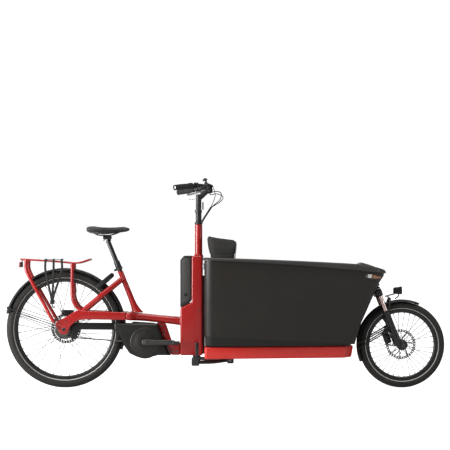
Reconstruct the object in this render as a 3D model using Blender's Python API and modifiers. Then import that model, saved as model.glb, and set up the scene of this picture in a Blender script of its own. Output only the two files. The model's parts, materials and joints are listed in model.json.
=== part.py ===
"""Front-loading cargo bicycle with a mid motor, as separate named solids.

Metres, +Z up, +X towards the front wheel, +Y to the rider's left. The origin is on the ground,
half way along the bicycle. The drive side is at -Y.
"""
import math

import bmesh
import bpy
import numpy as np
from mathutils import Matrix, Vector

# ---------------------------------------------------------------- driving dimensions
GAP = 0.0004                      # clearance between pieces that touch
REAR_AXLE = Vector((-0.963, 0.0, 0.353))
FRONT_AXLE = Vector((1.064, 0.0, 0.258))
REAR_TYRE_RADIUS = 0.353
FRONT_TYRE_RADIUS = 0.258
REAR_RIM_RADIUS = 0.283           # inner radius of the rim
FRONT_RIM_RADIUS = 0.193
CRANK_AXLE = Vector((-0.478, 0.0, 0.277))
CRANK_LENGTH = 0.170
CHAIN_LINE = -0.052
STAY_OFFSET = 0.077               # half distance between the stays' middle planes
STEER_X = -0.159                  # the handlebar's steering axis is upright
HEAD_TUBE_TOP = 0.982
COLUMN_TOP = 0.794
FORK_ANGLE = math.radians(21.6)   # lean of the fork's steering axis
CROWN = Vector((0.917, 0.0, 0.575))
LEG_OFFSET = 0.064
SEAT_ANGLE = math.radians(22.0)
SEAT_TUBE_TOP = Vector((-0.631, 0.0, 0.700))
PLATFORM_Z = (0.186, 0.2555)
BOX_REAR = -0.121
BOX_BOTTOM = 0.2595
BOX_WALL = 0.006
BOX_BOTTOM_FRONT = 0.750
BOX_RAKE = 0.435                  # how far the front wall leans forward per unit of height
GROOVE_HALF_WIDTH = 0.100

UP_FORK = Vector((-math.sin(FORK_ANGLE), 0.0, math.cos(FORK_ANGLE)))
UP_SEAT = Vector((-math.sin(SEAT_ANGLE), 0.0, math.cos(SEAT_ANGLE)))

# ---------------------------------------------------------------- scene and materials
for old in list(bpy.data.objects):
    bpy.data.objects.remove(old)
BIKE = bpy.data.collections.new("cargo_bicycle")
CUTTERS = bpy.data.collections.new("cutters")
bpy.context.scene.collection.children.link(BIKE)
bpy.context.scene.collection.children.link(CUTTERS)


def material(name, colour, roughness, metallic=0.0):
    """A Principled material of one colour."""
    made = bpy.data.materials.new(name)
    made.use_nodes = True
    shader = made.node_tree.nodes["Principled BSDF"]
    shader.inputs["Base Color"].default_value = (*colour, 1.0)
    shader.inputs["Roughness"].default_value = roughness
    shader.inputs["Metallic"].default_value = metallic
    return made


RED = material("red_paint", (0.55, 0.02, 0.015), 0.3)
BLACK = material("black_paint", (0.02, 0.02, 0.022), 0.4)
PLASTIC = material("moulded_plastic", (0.03, 0.029, 0.027), 0.55)
RUBBER = material("rubber", (0.025, 0.025, 0.025), 0.8)
TYRE = material("tyre_rubber", (0.03, 0.03, 0.028), 0.85)
STEEL = material("steel", (0.55, 0.55, 0.55), 0.3, 1.0)
ALLOY = material("alloy", (0.35, 0.35, 0.36), 0.35, 1.0)
FABRIC = material("seat_fabric", (0.03, 0.03, 0.03), 0.9)
LENS = material("lens", (0.8, 0.8, 0.78), 0.1)
RED_LENS = material("red_lens", (0.5, 0.01, 0.01), 0.15)
WEBBING = material("webbing", (0.02, 0.02, 0.02), 0.8)


# ---------------------------------------------------------------- modelling helpers
def place(name, data, mat, collection=BIKE):
    """Links an object for this mesh or curve."""
    made = bpy.data.objects.new(name, data)
    data.materials.append(mat)
    collection.objects.link(made)
    return made


def mesh_object(name, bm, mat, smooth=40.0):
    """Turns a bmesh into an object with outward normals."""
    bmesh.ops.recalc_face_normals(bm, faces=bm.faces)
    data = bpy.data.meshes.new(name)
    bm.to_mesh(data)
    bm.free()
    made = place(name, data, mat)
    data.shade_smooth()
    data.set_sharp_from_angle(angle=math.radians(smooth))
    return made


def loft(name, rings, mat, caps=True, loop=False):
    """A skin through rings of equally many points."""
    bm = bmesh.new()
    rows = [[bm.verts.new(point) for point in ring] for ring in rings]
    pairs = list(zip(rows, rows[1:]))
    if loop:
        pairs.append((rows[-1], rows[0]))
    for low, high in pairs:
        for i in range(len(low)):
            j = (i + 1) % len(low)
            bm.faces.new((low[i], low[j], high[j], high[i]))
    if caps and not loop:
        bm.faces.new(rows[0])
        bm.faces.new(rows[-1])
    return mesh_object(name, bm, mat)


def frame_along(direction):
    """A rotation whose Z axis is this direction and whose X axis stays near the world's X or Z."""
    return Vector(direction).normalized().to_track_quat("Z", "Y").to_matrix().to_4x4()


def cylinder(name, start, end, radius, mat, sides=16, end_radius=None):
    """A rod or a cone between two points."""
    start, end = Vector(start), Vector(end)
    bm = bmesh.new()
    turn = Matrix.Translation((start + end) / 2) @ frame_along(end - start)
    bmesh.ops.create_cone(
        bm, cap_ends=True, segments=sides, radius1=radius,
        radius2=radius if end_radius is None else end_radius,
        depth=(end - start).length, matrix=turn)
    return mesh_object(name, bm, mat)


def block(name, centre, size, mat, bevel=0.0, turn_y=0.0, turn_z=0.0):
    """A box with rounded edges, turned about Y and then Z, in degrees."""
    bm = bmesh.new()
    turn = Matrix.Rotation(math.radians(turn_z), 4, "Z") @ Matrix.Rotation(math.radians(turn_y), 4, "Y")
    bmesh.ops.create_cube(bm, size=1.0, matrix=Matrix.Translation(centre) @ turn @ Matrix.Diagonal((*size, 1.0)))
    made = mesh_object(name, bm, mat)
    if bevel:
        rounding = made.modifiers.new("rounded", "BEVEL")
        rounding.width = bevel
        rounding.segments = 2
    return made


def turned(name, profile, centre, axis, mat, steps=24):
    """A turned shape: (radius, height) points from top to bottom, spun round an axis."""
    bm = bmesh.new()
    closed = profile[0] == profile[-1]
    verts = [bm.verts.new((radius, 0.0, height)) for radius, height in profile[:-1 if closed else None]]
    for a, b in zip(verts, verts[1:] + (verts[:1] if closed else [])):
        bm.edges.new((a, b))
    data = bpy.data.meshes.new(name)
    bm.to_mesh(data)
    bm.free()
    made = place(name, data, mat)
    spin = made.modifiers.new("spin", "SCREW")
    spin.steps = spin.render_steps = steps
    spin.use_merge_vertices = True
    spin.merge_threshold = 0.0001
    made.matrix_world = Matrix.Translation(centre) @ frame_along(axis)
    return made


def ring(name, profile, centre, mat, steps=48):
    """A closed profile of (radius, sideways) points spun round the wheel's Y axis."""
    rings = []
    for step in range(steps):
        angle = 2 * math.pi * step / steps
        rings.append([
            Vector(centre) + Vector((radius * math.cos(angle), side, radius * math.sin(angle)))
            for radius, side in profile])
    return loft(name, rings, mat, loop=True)


def smooth_path(points, count):
    """Points along a Catmull-Rom curve through these points."""
    knots = [Vector(p) for p in points]
    knots = [2 * knots[0] - knots[1], *knots, 2 * knots[-1] - knots[-2]]
    path = []
    for i in range(1, len(knots) - 2):
        a, b, c, d = knots[i - 1:i + 3]
        for k in range(count):
            t = k / count
            path.append(0.5 * ((2 * b) + (c - a) * t + (2 * a - 5 * b + 4 * c - d) * t * t
                               + (3 * b - a - 3 * c + d) * t * t * t))
    path.append(knots[-2])
    return path


def tube(name, points, radius, mat, resolution=2):
    """A bent rod as a curve with filled caps."""
    data = bpy.data.curves.new(name, "CURVE")
    data.dimensions = "3D"
    data.bevel_depth = radius
    data.bevel_resolution = resolution
    data.use_fill_caps = True
    spline = data.splines.new("POLY")
    spline.points.add(len(points) - 1)
    for point, place_of in zip(spline.points, points):
        point.co = (*place_of, 1.0)
    return place(name, data, mat)


def plate(name, outline, middle_y, thickness, mat, hole=None, chamfer=0.0):
    """A flat outline of (x, z) points, thickened along Y. hole is a second outline."""
    data = bpy.data.curves.new(name, "CURVE")
    data.dimensions = "2D"
    data.fill_mode = "BOTH"
    data.extrude = thickness / 2 - chamfer
    data.bevel_depth = chamfer
    data.bevel_resolution = 0
    data.offset = -chamfer
    for points in [outline] + ([hole] if hole else []):
        spline = data.splines.new("POLY")
        spline.points.add(len(points) - 1)
        for point, (x, z) in zip(spline.points, points):
            point.co = (x, z, 0.0, 1.0)
        spline.use_cyclic_u = True
    made = place(name, data, mat)
    made.rotation_euler = (math.pi / 2, 0.0, 0.0)
    made.location = (0.0, middle_y, 0.0)
    return made


def as_mesh(obj):
    """A curve object made a mesh object of the same name, with its caps welded."""
    if obj.type == "MESH":
        return obj
    bpy.context.view_layer.update()
    graph = bpy.context.evaluated_depsgraph_get()
    data = bpy.data.meshes.new_from_object(obj.evaluated_get(graph))
    bm = bmesh.new()
    bm.from_mesh(data)
    bmesh.ops.remove_doubles(bm, verts=bm.verts, dist=0.00001)
    bmesh.ops.recalc_face_normals(bm, faces=bm.faces)
    bm.to_mesh(data)
    bm.free()
    name, world = obj.name, obj.matrix_world.copy()
    bpy.data.objects.remove(obj)
    made = bpy.data.objects.new(name, data)
    made.matrix_world = world
    BIKE.objects.link(made)
    return made


def as_helper(obj):
    """Moves a piece to the cutters, out of the model."""
    obj = as_mesh(obj)
    BIKE.objects.unlink(obj)
    CUTTERS.objects.link(obj)
    obj.hide_render = True
    obj.display_type = "WIRE"
    return obj


def combine(target, *others, operation="UNION"):
    """Adds a Boolean for each other piece, which becomes a helper."""
    target = as_mesh(target)
    for other in others:
        change = target.modifiers.new(operation.lower(), "BOOLEAN")
        change.operation = operation
        change.object = as_helper(other)
    return target


def grown(outline, distance):
    """A clockwise outline moved outwards by this distance."""
    moved = []
    for i, here in enumerate(outline):
        before, after = Vector(outline[i - 1]), Vector(outline[(i + 1) % len(outline)])
        here = Vector(here)
        first, second = (here - before).normalized(), (after - here).normalized()
        normal = (Vector((first.y, -first.x)) + Vector((second.y, -second.x))).normalized()
        moved.append(here + normal * distance / max(0.5, normal.dot(Vector((first.y, -first.x)))))
    return moved


def arc(centre, radius, start, end, count):
    """(x, z) points on an arc, with angles in degrees."""
    angles = [math.radians(start + (end - start) * i / count) for i in range(count + 1)]
    return [(centre[0] + radius * math.cos(a), centre[1] + radius * math.sin(a)) for a in angles]


# ---------------------------------------------------------------- wheels
def wheel(prefix, axle, tyre_radius, rim_radius, section, hub_radius, flange, spokes, hub_half):
    """Tyre, rim and a hub with its spokes."""
    bead = rim_radius + 0.021
    crown = tyre_radius - section * 0.42
    half = section / 2
    ring(prefix + "_tyre", [
        (tyre_radius, half * 0.50), (tyre_radius - section * 0.08, half * 0.80), (crown, half),
        (bead + 0.008, half * 0.78), (bead + GAP, half * 0.45), (bead + GAP, -half * 0.45),
        (bead + 0.008, -half * 0.78), (crown, -half), (tyre_radius - section * 0.08, -half * 0.80),
        (tyre_radius, -half * 0.50)], axle, TYRE, 44)
    ring(prefix + "_rim", [
        (bead, 0.0125), (rim_radius + 0.004, 0.0125), (rim_radius, 0.007),
        (rim_radius, -0.007), (rim_radius + 0.004, -0.0125), (bead, -0.0125)], axle, BLACK, 44)
    hub = turned(prefix + "_hub", [
        (0.0, hub_half), (0.006, hub_half), (0.006, flange + 0.012), (0.016, flange + 0.012),
        (hub_radius, flange), (hub_radius, -flange), (0.016, -flange - 0.012),
        (0.006, -flange - 0.012), (0.006, -hub_half), (0.0, -hub_half)], axle, (0, 1, 0), BLACK, 24)
    lacing = bmesh.new()
    for index in range(spokes):
        side = 1 if index % 2 else -1
        angle = 2 * math.pi * (index + 0.5) / spokes
        lean = math.radians(28.0) * (1 if index % 4 < 2 else -1)
        inner = axle + Vector((math.cos(angle + lean), 0, math.sin(angle + lean))) * (hub_radius - 0.004)
        inner.y = side * (flange - 0.004)
        outer = axle + Vector((math.cos(angle), 0, math.sin(angle))) * (rim_radius - 0.0014)
        outer.y = side * 0.003
        turn = Matrix.Translation((inner + outer) / 2) @ frame_along(outer - inner)
        bmesh.ops.create_cone(lacing, cap_ends=True, segments=3, radius1=0.0014, radius2=0.0014,
                              depth=(outer - inner).length, matrix=turn)
    combine(hub, mesh_object(prefix + "_spokes", lacing, STEEL))


def rotor(name, axle, side, radius):
    """A brake disc with arms between its ring and its boss."""
    body = turned(name, [
        (radius, 0.001), (radius, -0.001), (radius - 0.016, -0.001), (radius - 0.016, 0.001),
        (radius, 0.001)], axle + Vector((0, side, 0)), (0, 1, 0), STEEL, 28)
    boss = turned(name + "_boss", [
        (0.026, 0.001), (0.026, -0.001), (0.018, -0.001), (0.018, 0.001), (0.026, 0.001)],
        axle + Vector((0, side, 0)), (0, 1, 0), STEEL, 16)
    arms = []
    for index in range(6):
        angle = math.radians(60 * index)
        middle = axle + Vector((math.cos(angle), 0, math.sin(angle))) * (radius / 2 + 0.006)
        middle.y = side
        arms.append(block(f"{name}_arm_{index}", middle, (radius - 0.028, 0.0018, 0.008), STEEL,
                          turn_y=-math.degrees(angle)))
    combine(body, boss, *arms)


wheel("rear", REAR_AXLE, REAR_TYRE_RADIUS, REAR_RIM_RADIUS, 0.060, 0.060, 0.030, 36, 0.098)
wheel("front", FRONT_AXLE, FRONT_TYRE_RADIUS, FRONT_RIM_RADIUS, 0.056, 0.031, 0.024, 36, 0.090)
for prefix, axle, side in (("rear", REAR_AXLE, 0.050), ("front", FRONT_AXLE, 0.0390)):
    rotor(prefix + "_rotor", axle, side, 0.090)
    boss = cylinder(prefix + "_rotor_boss", axle + Vector((0, side - 0.006, 0)),
                    axle + Vector((0, side + 0.0014, 0)), 0.0165, ALLOY, 16)
    combine(bpy.data.objects[prefix + "_hub"], boss)

sprocket = turned("rear_sprocket", [
    (0.0, 0.0015), (0.0405, 0.0015), (0.0405, -0.0015), (0.0, -0.0015)],
    REAR_AXLE + Vector((0, CHAIN_LINE, 0)), (0, 1, 0), STEEL, 30)
combine(bpy.data.objects["rear_hub"], sprocket)


# ---------------------------------------------------------------- mudguards
def mudguard(name, axle, radius, half_width, start, end, steps):
    """A curved strip over the wheel, as an open surface with thickness."""
    bm = bmesh.new()
    profile = [(-half_width, -0.012), (-half_width * 0.6, -0.003), (0.0, 0.0),
               (half_width * 0.6, -0.003), (half_width, -0.012)]
    rows = []
    for step in range(steps + 1):
        angle = math.radians(start + (end - start) * step / steps)
        outward = Vector((math.cos(angle), 0, math.sin(angle)))
        rows.append([bm.verts.new(axle + outward * (radius + drop) + Vector((0, side, 0)))
                     for side, drop in profile])
    for low, high in zip(rows, rows[1:]):
        for i in range(len(profile) - 1):
            bm.faces.new((low[i], low[i + 1], high[i + 1], high[i]))
    made = mesh_object(name, bm, BLACK)
    skin = made.modifiers.new("thickness", "SOLIDIFY")
    skin.thickness = 0.0025
    skin.offset = 0.0
    return made


rear_guard = mudguard("rear_mudguard", REAR_AXLE, 0.3665, 0.036, -20.0, 165.0, 28)
front_guard = mudguard("front_mudguard", FRONT_AXLE, 0.2715, 0.034, 67.0, 202.0, 20)

rear_wires = [tube(f"rear_guard_wire_{side}_{index}", [
    (REAR_AXLE.x - 0.020, side * 0.0928, start), (-1.022, side * 0.0928, bend), (-1.290, side * 0.040, low),
    (REAR_AXLE.x - 0.3555 * math.cos(math.asin((low - 0.3445) / 0.3555)), side * 0.035, low + 0.0085)],
    0.0022, STEEL, 1)
    for side in (-1, 1) for index, (start, bend, low) in enumerate(((0.358, 0.367, 0.456), (0.366, 0.379, 0.474)))]
combine(rear_guard, *rear_wires)
front_wires = [tube(f"front_guard_wire_{side}_{index}", [
    (FRONT_AXLE.x - 0.0870, side * 0.0630, high), (FRONT_AXLE.x - 0.2500, side * 0.0390, low),
    (FRONT_AXLE.x - 0.2640, side * 0.0330, low - 0.007)], 0.0022, STEEL, 1)
    for side in (-1, 1) for index, (high, low) in enumerate(((0.3660, 0.2760), (0.3420, 0.2460)))]
combine(front_guard, *front_wires)


# ---------------------------------------------------------------- frame
def rounded_section(x, half_width, low, high, corner):
    """Eight points of a rounded rectangle across X."""
    w, c = half_width, corner
    return [Vector((x, y, z)) for y, z in (
        (-w + c, low), (w - c, low), (w, low + c), (w, high - c),
        (w - c, high), (-w + c, high), (-w, high - c), (-w, low + c))]


def rear_frame():
    """Stays, yoke, beam and seat tube."""
    joint = (-0.874, 0.4427)
    for side, label in ((-1, "right"), (1, "left")):
        outline = [
            (-0.592, 0.4095), (-0.592, 0.4555), (-0.84, 0.4650), (-0.868, 0.4700), (-0.905, 0.4560),
            (-1.012, 0.3930), (-1.006, 0.3650), *arc((REAR_AXLE.x, REAR_AXLE.z), 0.030, 200, 330, 6),
            (-0.925, 0.3680), (-0.905, 0.3900), (-0.870, 0.4080), (-0.83, 0.4130)]
        stay = plate(f"rear_stay_{label}", outline[::-1], side * STAY_OFFSET, 0.026, RED, chamfer=0.005)
        bore = cylinder(f"dropout_bore_{label}", REAR_AXLE + Vector((0, side * 0.05, 0)),
                        REAR_AXLE + Vector((0, side * 0.11, 0)), 0.0068, STEEL, 16)
        stay = combine(stay, bore, operation="DIFFERENCE")
        lower = Vector((joint[0], side * STAY_OFFSET, joint[1]))
        upper = Vector((-0.634, side * 0.040, 0.642))
        across = (upper - lower).normalized().cross(Vector((0, 1, 0)))
        rings = []
        for share in (0.0, 0.25, 0.55, 0.80, 1.0):
            centre = lower.lerp(upper, share)
            centre.y = side * (STAY_OFFSET - (STAY_OFFSET - 0.0305) * max(0.0, share - 0.55) / 0.45)
            height, width = 0.016, 0.011 - 0.001 * share
            rings.append([centre + across * (height * math.cos(a)) + Vector((0, width * math.sin(a), 0))
                          for a in (2 * math.pi * k / 10 for k in range(10))])
        combine(stay, loft(f"seat_stay_{label}", rings, RED))
    loft("main_beam", [
        rounded_section(-0.5915, 0.090, 0.4095, 0.4555, 0.010),
        rounded_section(-0.565, 0.090, 0.4060, 0.4530, 0.012),
        rounded_section(-0.530, 0.058, 0.4045, 0.4500, 0.012),
        rounded_section(-0.480, 0.045, 0.4010, 0.4460, 0.012),
        rounded_section(-0.390, 0.045, 0.3920, 0.4365, 0.012),
        rounded_section(-0.2685, 0.045, 0.3760, 0.4255, 0.012)], RED)
    rings = []
    for height, half_x, half_y, forward in (
            (0.4545, 0.034, 0.024, 0.006), (0.480, 0.025, 0.021, 0.002), (0.520, 0.019, 0.0185, 0.0),
            (0.640, 0.0175, 0.0175, 0.0), (0.699, 0.0175, 0.0175, 0.0)):
        middle = SEAT_TUBE_TOP + UP_SEAT * ((height - SEAT_TUBE_TOP.z) / UP_SEAT.z)
        rings.append([middle + Vector((forward + half_x * math.cos(a), half_y * math.sin(a), 0))
                      for a in (2 * math.pi * k / 16 for k in range(16))])
    tube_body = loft("seat_tube", rings, RED)
    combine(tube_body, cylinder("seat_tube_bore", SEAT_TUBE_TOP - UP_SEAT * 0.215,
                                SEAT_TUBE_TOP + UP_SEAT * 0.05, 0.0142, STEEL, 20),
            operation="DIFFERENCE")
    collar = turned("seat_collar", [
        (0.0205, 0.0165), (0.0205, 0.0), (0.0165, 0.0), (0.0165, 0.0165), (0.0205, 0.0165)],
        SEAT_TUBE_TOP + UP_SEAT * 0.010, UP_SEAT, BLACK, 24)
    ear = SEAT_TUBE_TOP + UP_SEAT * 0.018 + Vector((-0.026, 0, -0.010))
    combine(collar, block("collar_ear", ear, (0.016, 0.020, 0.012), BLACK, turn_y=-22))


rear_frame()


def column_frame():
    """The upright column that holds the battery and the steering."""
    outline = [(-0.268, 0.197), (-0.134, 0.197), (-0.134, COLUMN_TOP), (-0.1995, COLUMN_TOP),
               (-0.1995, 0.5140), (-0.268, 0.4810)]
    column = as_mesh(plate("battery_column", outline, 0.0, 0.140, RED))
    weld = column.modifiers.new("weld", "WELD")
    weld.merge_threshold = 0.0001
    rounding = column.modifiers.new("rounded", "BEVEL")
    rounding.width = 0.010
    rounding.segments = 2
    rounding.limit_method = "ANGLE"
    rounding.angle_limit = math.radians(50)
    neck = cylinder("head_tube", (STEER_X, 0, COLUMN_TOP - 0.02), (STEER_X, 0, HEAD_TUBE_TOP), 0.0225, RED, 24)
    combine(column, neck)
    combine(column, cylinder("column_bore", (STEER_X, 0, 0.60), (STEER_X, 0, 1.05), 0.0166, STEEL, 20),
            operation="DIFFERENCE")
    plate("battery_pack", [
        (-0.268, 0.4835), (-0.2143, 0.5097), (-0.2003, 0.5300), (-0.2003, COLUMN_TOP),
        *arc((-0.226, COLUMN_TOP - 0.042), 0.042, 90, 180, 6)], 0.0, 0.128, PLASTIC)
    plate("motor_mount", [
        (-0.411, 0.3925), (-0.357, 0.3855), (-0.319, 0.2760), (-0.2685, 0.2710),
        (-0.2685, 0.1970), (-0.324, 0.1970), (-0.375, 0.3120)][::-1], 0.0, 0.070, RED, chamfer=0.008)


column_frame()


# ---------------------------------------------------------------- load platform and box
def platform():
    """A tapering tray with a chamfered nose, and the ears of the stand."""
    def half_width(x):
        return 0.240 - 0.120 * (x - BOX_REAR) / (0.715 - BOX_REAR)
    rings = []
    for height, inset in ((PLATFORM_Z[0], 0.006), (PLATFORM_Z[0] + 0.006, 0.0),
                          (PLATFORM_Z[1] - 0.004, 0.0), (PLATFORM_Z[1], 0.004)):
        rake = 0.012 * (height - PLATFORM_Z[0]) / 0.07
        right = [(BOX_REAR + 0.012 + inset, half_width(BOX_REAR) - inset), (0.30, half_width(0.30) - inset),
                 (0.708 + rake, half_width(0.715) - inset), (0.756 + rake - inset, 0.052 - inset)]
        left = [(x, -y) for x, y in reversed(right)]
        corner = [(BOX_REAR + inset, 0.226 - inset)]
        rings.append([Vector((x, y, height)) for x, y in corner + right + left + [(BOX_REAR + inset, -0.226 + inset)]])
    tray = loft("platform", rings, RED)
    ears = [block(f"stand_ear_{side}", (0.034, side * 0.0884, 0.175), (0.034, 0.012, 0.046), RED)
            for side in (-1, 1)]
    combine(tray, *ears)


platform()


def wall_top(x):
    """Height of the rim's lower edge along the box."""
    u = (x + 0.12) / 1.01
    return 0.7655 - 0.030 * u - 0.040 * u * u


def rim_top(x):
    """Height of the rim's upper edge along the box."""
    u = (x + 0.12) / 1.01
    drop = max(0.0, x - 0.76)
    return 0.783 - 0.026 * u - 0.0185 * u * u - 0.75 * drop * drop


def box_outline(height, offset=0.0, groove=True, corner_steps=4):
    """The box's outline seen from above at this height, grown by offset, as (x, y) points."""
    t = (height - BOX_BOTTOM) / 0.51
    rear, front = BOX_REAR - offset, BOX_BOTTOM_FRONT + BOX_RAKE * (height - BOX_BOTTOM) + offset
    wide, narrow = 0.246 + 0.072 * t + offset, 0.146 + 0.090 * t + offset
    small, large = 0.050 + offset, 0.030 + 0.055 * t + offset
    half = []
    for i in range(corner_steps + 1):
        a = math.radians(180 - 90 * i / corner_steps)
        half.append((rear + small + small * math.cos(a), wide - small + small * math.sin(a)))
    for share in (0.25, 0.5, 0.75):
        x = (rear + small) + (front - large - rear - small) * share
        half.append((x, wide + (narrow - wide) * share + 0.016 * math.sin(math.pi * share)))
    for i in range(corner_steps + 1):
        a = math.radians(90 - 90 * i / corner_steps)
        half.append((front - large + large * math.cos(a), narrow - large + large * math.sin(a)))
    if groove:
        deep = float(np.interp(height, (BOX_BOTTOM, 0.40, 0.55, 0.70), (0.668, 0.690, 0.742, 0.800))) + offset
        half += [(front, GROOVE_HALF_WIDTH - offset), (deep, GROOVE_HALF_WIDTH - offset)]
    else:
        half += [(front, GROOVE_HALF_WIDTH * 0.6), (front, GROOVE_HALF_WIDTH * 0.2)]
    return half + [(x, -y) for x, y in reversed(half)]


def cargo_box():
    """The moulded tub: a floor and walls, with a groove down the front for the fork's head tube."""
    def level(height, offset, brim=False):
        return [Vector((x, y, wall_top(x) + 0.006 if brim else height))
                for x, y in box_outline(min(height, 0.70), offset)]
    loft("cargo_box", [
        level(BOX_BOTTOM, -0.010), level(BOX_BOTTOM + 0.012, 0.0), level(0.40, 0.0), level(0.55, 0.0),
        level(0.70, 0.0, True), level(0.70, -BOX_WALL, True), level(0.55, -BOX_WALL), level(0.40, -BOX_WALL),
        level(BOX_BOTTOM + 0.014, -BOX_WALL), level(BOX_BOTTOM + 0.008, -0.014)], PLASTIC)


cargo_box()


def box_rim():
    """The rolled lip round the top of the tub."""
    def loop(offset, height):
        return [Vector((x, y, height(x))) for x, y in box_outline(0.70, offset, groove=False)]
    rings = [
        loop(0.0120, wall_top), loop(0.0075, lambda x: rim_top(x) - 0.004), loop(0.0, rim_top),
        loop(-0.009, lambda x: rim_top(x) - 0.001), loop(-0.011, lambda x: wall_top(x) + 0.0105),
        loop(0.0018, lambda x: wall_top(x) + 0.0105), loop(0.0018, wall_top)]
    loft("box_rim", rings, PLASTIC, loop=True)


box_rim()


def nose_cowl():
    """The hood over the fork's head tube, closing the front of the box."""
    def edge(x):
        return rim_top(x) - 0.006
    inner = box_outline(0.70, -0.0130, groove=False)
    front_part = [(x, y) for x, y in inner if x > 0.802 and y > 0]
    side_at_back = np.interp(0.802, [p[0] for p in inner if p[1] > 0], [p[1] for p in inner if p[1] > 0])
    stations = [(0.802, float(side_at_back))] + [p for p in front_part if p[1] > 0.01]
    bm = bmesh.new()
    rows = []
    columns = 8
    for x, half in stations:
        rise = max(0.0, 0.022 * (1 - (x - 0.802) / 0.16))
        row = []
        for j in range(columns + 1):
            across = -1 + 2 * j / columns
            row.append(bm.verts.new((x, half * across, edge(x) + rise * (1 - across ** 2))))
        rows.append(row)
    rows.insert(0, [bm.verts.new((v.co.x - 0.004, v.co.y * 0.99, 0.7140)) for v in rows[0]])
    for low, high in zip(rows, rows[1:]):
        for i in range(columns):
            bm.faces.new((low[i], low[i + 1], high[i + 1], high[i]))
    cowl = mesh_object("nose_cowl", bm, PLASTIC)
    skin = cowl.modifiers.new("thickness", "SOLIDIFY")
    skin.thickness = 0.004
    skin.offset = 0.0


nose_cowl()


def child_bench():
    """Seat cushion and a backrest with side wings, inside the rear of the box."""
    block("bench_seat", (0.0925, 0, 0.405), (0.245, 0.360, 0.090), FABRIC, bevel=0.020)
    rings = []
    for height, back, half, wing in (
            (0.300, -0.076, 0.150, -0.036), (0.462, -0.076, 0.165, -0.036), (0.640, -0.070, 0.168, 0.056),
            (0.770, -0.078, 0.170, 0.062), (0.840, -0.096, 0.168, 0.074), (0.893, -0.103, 0.160, 0.074),
            (0.912, -0.100, 0.140, 0.058)):
        front = back + 0.036
        outline = [(back, -half + 0.03), (back + 0.03, -half), (wing - 0.012, -half), (wing, -half + 0.012),
                   (wing - 0.004, -half + 0.030), (front + 0.008, -half + 0.045), (front - 0.004, 0.0),
                   (front + 0.008, half - 0.045), (wing - 0.004, half - 0.030), (wing, half - 0.012),
                   (wing - 0.012, half), (back + 0.03, half), (back, half - 0.03)]
        drop = 0.17 if height > 0.85 else 0.0
        rings.append([Vector((x, y, height - drop * (x - back))) for x, y in outline])
    loft("bench_back", rings, FABRIC)


child_bench()


# ---------------------------------------------------------------- fork
def on_fork(along, forward=0.0, side=0.0):
    """A point by its distance up the steering axis from the crown, and ahead of it."""
    ahead = Vector((math.cos(FORK_ANGLE), 0.0, math.sin(FORK_ANGLE)))
    return CROWN + UP_FORK * along + ahead * forward + Vector((0, side, 0))


def front_frame():
    """The tube that carries the front head tube, and the head tube."""
    route = smooth_path([(0.7150, 0, PLATFORM_Z[1] + GAP), (0.726, 0, 0.32), (0.742, 0, 0.41),
                         (0.782, 0, 0.510), (0.836, 0, 0.610), (0.884, 0, 0.660)], 4)
    down = as_mesh(tube("front_down_tube", route, 0.026, RED, 3))
    combine(down, cylinder("front_head_tube", on_fork(0.032), on_fork(0.140), 0.0270, RED, 24))
    combine(down, cylinder("head_tube_bore", on_fork(0.0), on_fork(0.18), 0.0168, STEEL, 24),
            block("tray_seat", (0.70, 0, PLATFORM_Z[1] - 0.030 + GAP), (0.2, 0.2, 0.060), STEEL),
            operation="DIFFERENCE")


front_frame()


def fork():
    """Crown with stanchions, and the lower legs that slide on them."""
    crown = block("fork_crown", CROWN, (0.044, 0.176, 0.038), BLACK, turn_y=-math.degrees(FORK_ANGLE))
    stanchions = [cylinder(f"stanchion_{side}", on_fork(-0.190, side=side * LEG_OFFSET),
                           on_fork(0.012, side=side * LEG_OFFSET), 0.0150, STEEL, 16) for side in (-1, 1)]
    combine(crown, cylinder("fork_steerer", on_fork(0.0), on_fork(0.138), 0.0160, STEEL, 16), *stanchions)
    legs = []
    for side in (-1, 1):
        leg = cylinder(f"leg_{side}", on_fork(-0.124, side=side * LEG_OFFSET),
                       on_fork(-0.350, side=side * LEG_OFFSET), 0.0205, BLACK, 16)
        dropout = block(f"dropout_{side}", FRONT_AXLE + Vector((-0.012, side * LEG_OFFSET, 0.006)),
                        (0.046, 0.020, 0.040), BLACK)
        legs += [leg, dropout]
    arch = tube("fork_arch", smooth_path([
        on_fork(-0.150, side=-LEG_OFFSET), on_fork(-0.105, 0.028, -0.062), on_fork(-0.070, 0.048, -0.036),
        on_fork(-0.062, 0.053, 0.0), on_fork(-0.070, 0.048, 0.036), on_fork(-0.105, 0.028, 0.062),
        on_fork(-0.150, side=LEG_OFFSET)], 3), 0.0085, BLACK)
    lowers = combine(legs[0], *legs[1:], arch)
    lowers.name = "fork_lowers"
    for side in (-1, 1):
        combine(lowers, cylinder(f"stanchion_bore_{side}", on_fork(-0.250, side=side * LEG_OFFSET),
                                 on_fork(-0.06, side=side * LEG_OFFSET), 0.0156, STEEL, 16),
                operation="DIFFERENCE")
    combine(lowers, cylinder("axle_bore", FRONT_AXLE + Vector((0, -0.12, 0)),
                             FRONT_AXLE + Vector((0, 0.12, 0)), 0.0068, STEEL, 16), operation="DIFFERENCE")
    lamp = block("headlight", (1.040, 0, 0.584), (0.054, 0.052, 0.048), BLACK, bevel=0.008)
    combine(lamp, tube("lamp_bracket", smooth_path([
        on_fork(-0.0500, 0.0620, 0.0), (1.000, 0, 0.5535), (1.024, 0, 0.5620), (1.034, 0, 0.575)], 3), 0.0045, BLACK))
    caliper = block("front_caliper", (0.978, 0.0390, 0.298), (0.040, 0.036, 0.072), BLACK, bevel=0.004,
                    turn_y=-20)
    slot = turned("front_rotor_slot", [(0.0, 0.003), (0.094, 0.003), (0.094, -0.003), (0.0, -0.003)],
                  FRONT_AXLE + Vector((0, 0.039, 0)), (0, 1, 0), STEEL, 36)
    combine(caliper, slot, operation="DIFFERENCE")


fork()


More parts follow.
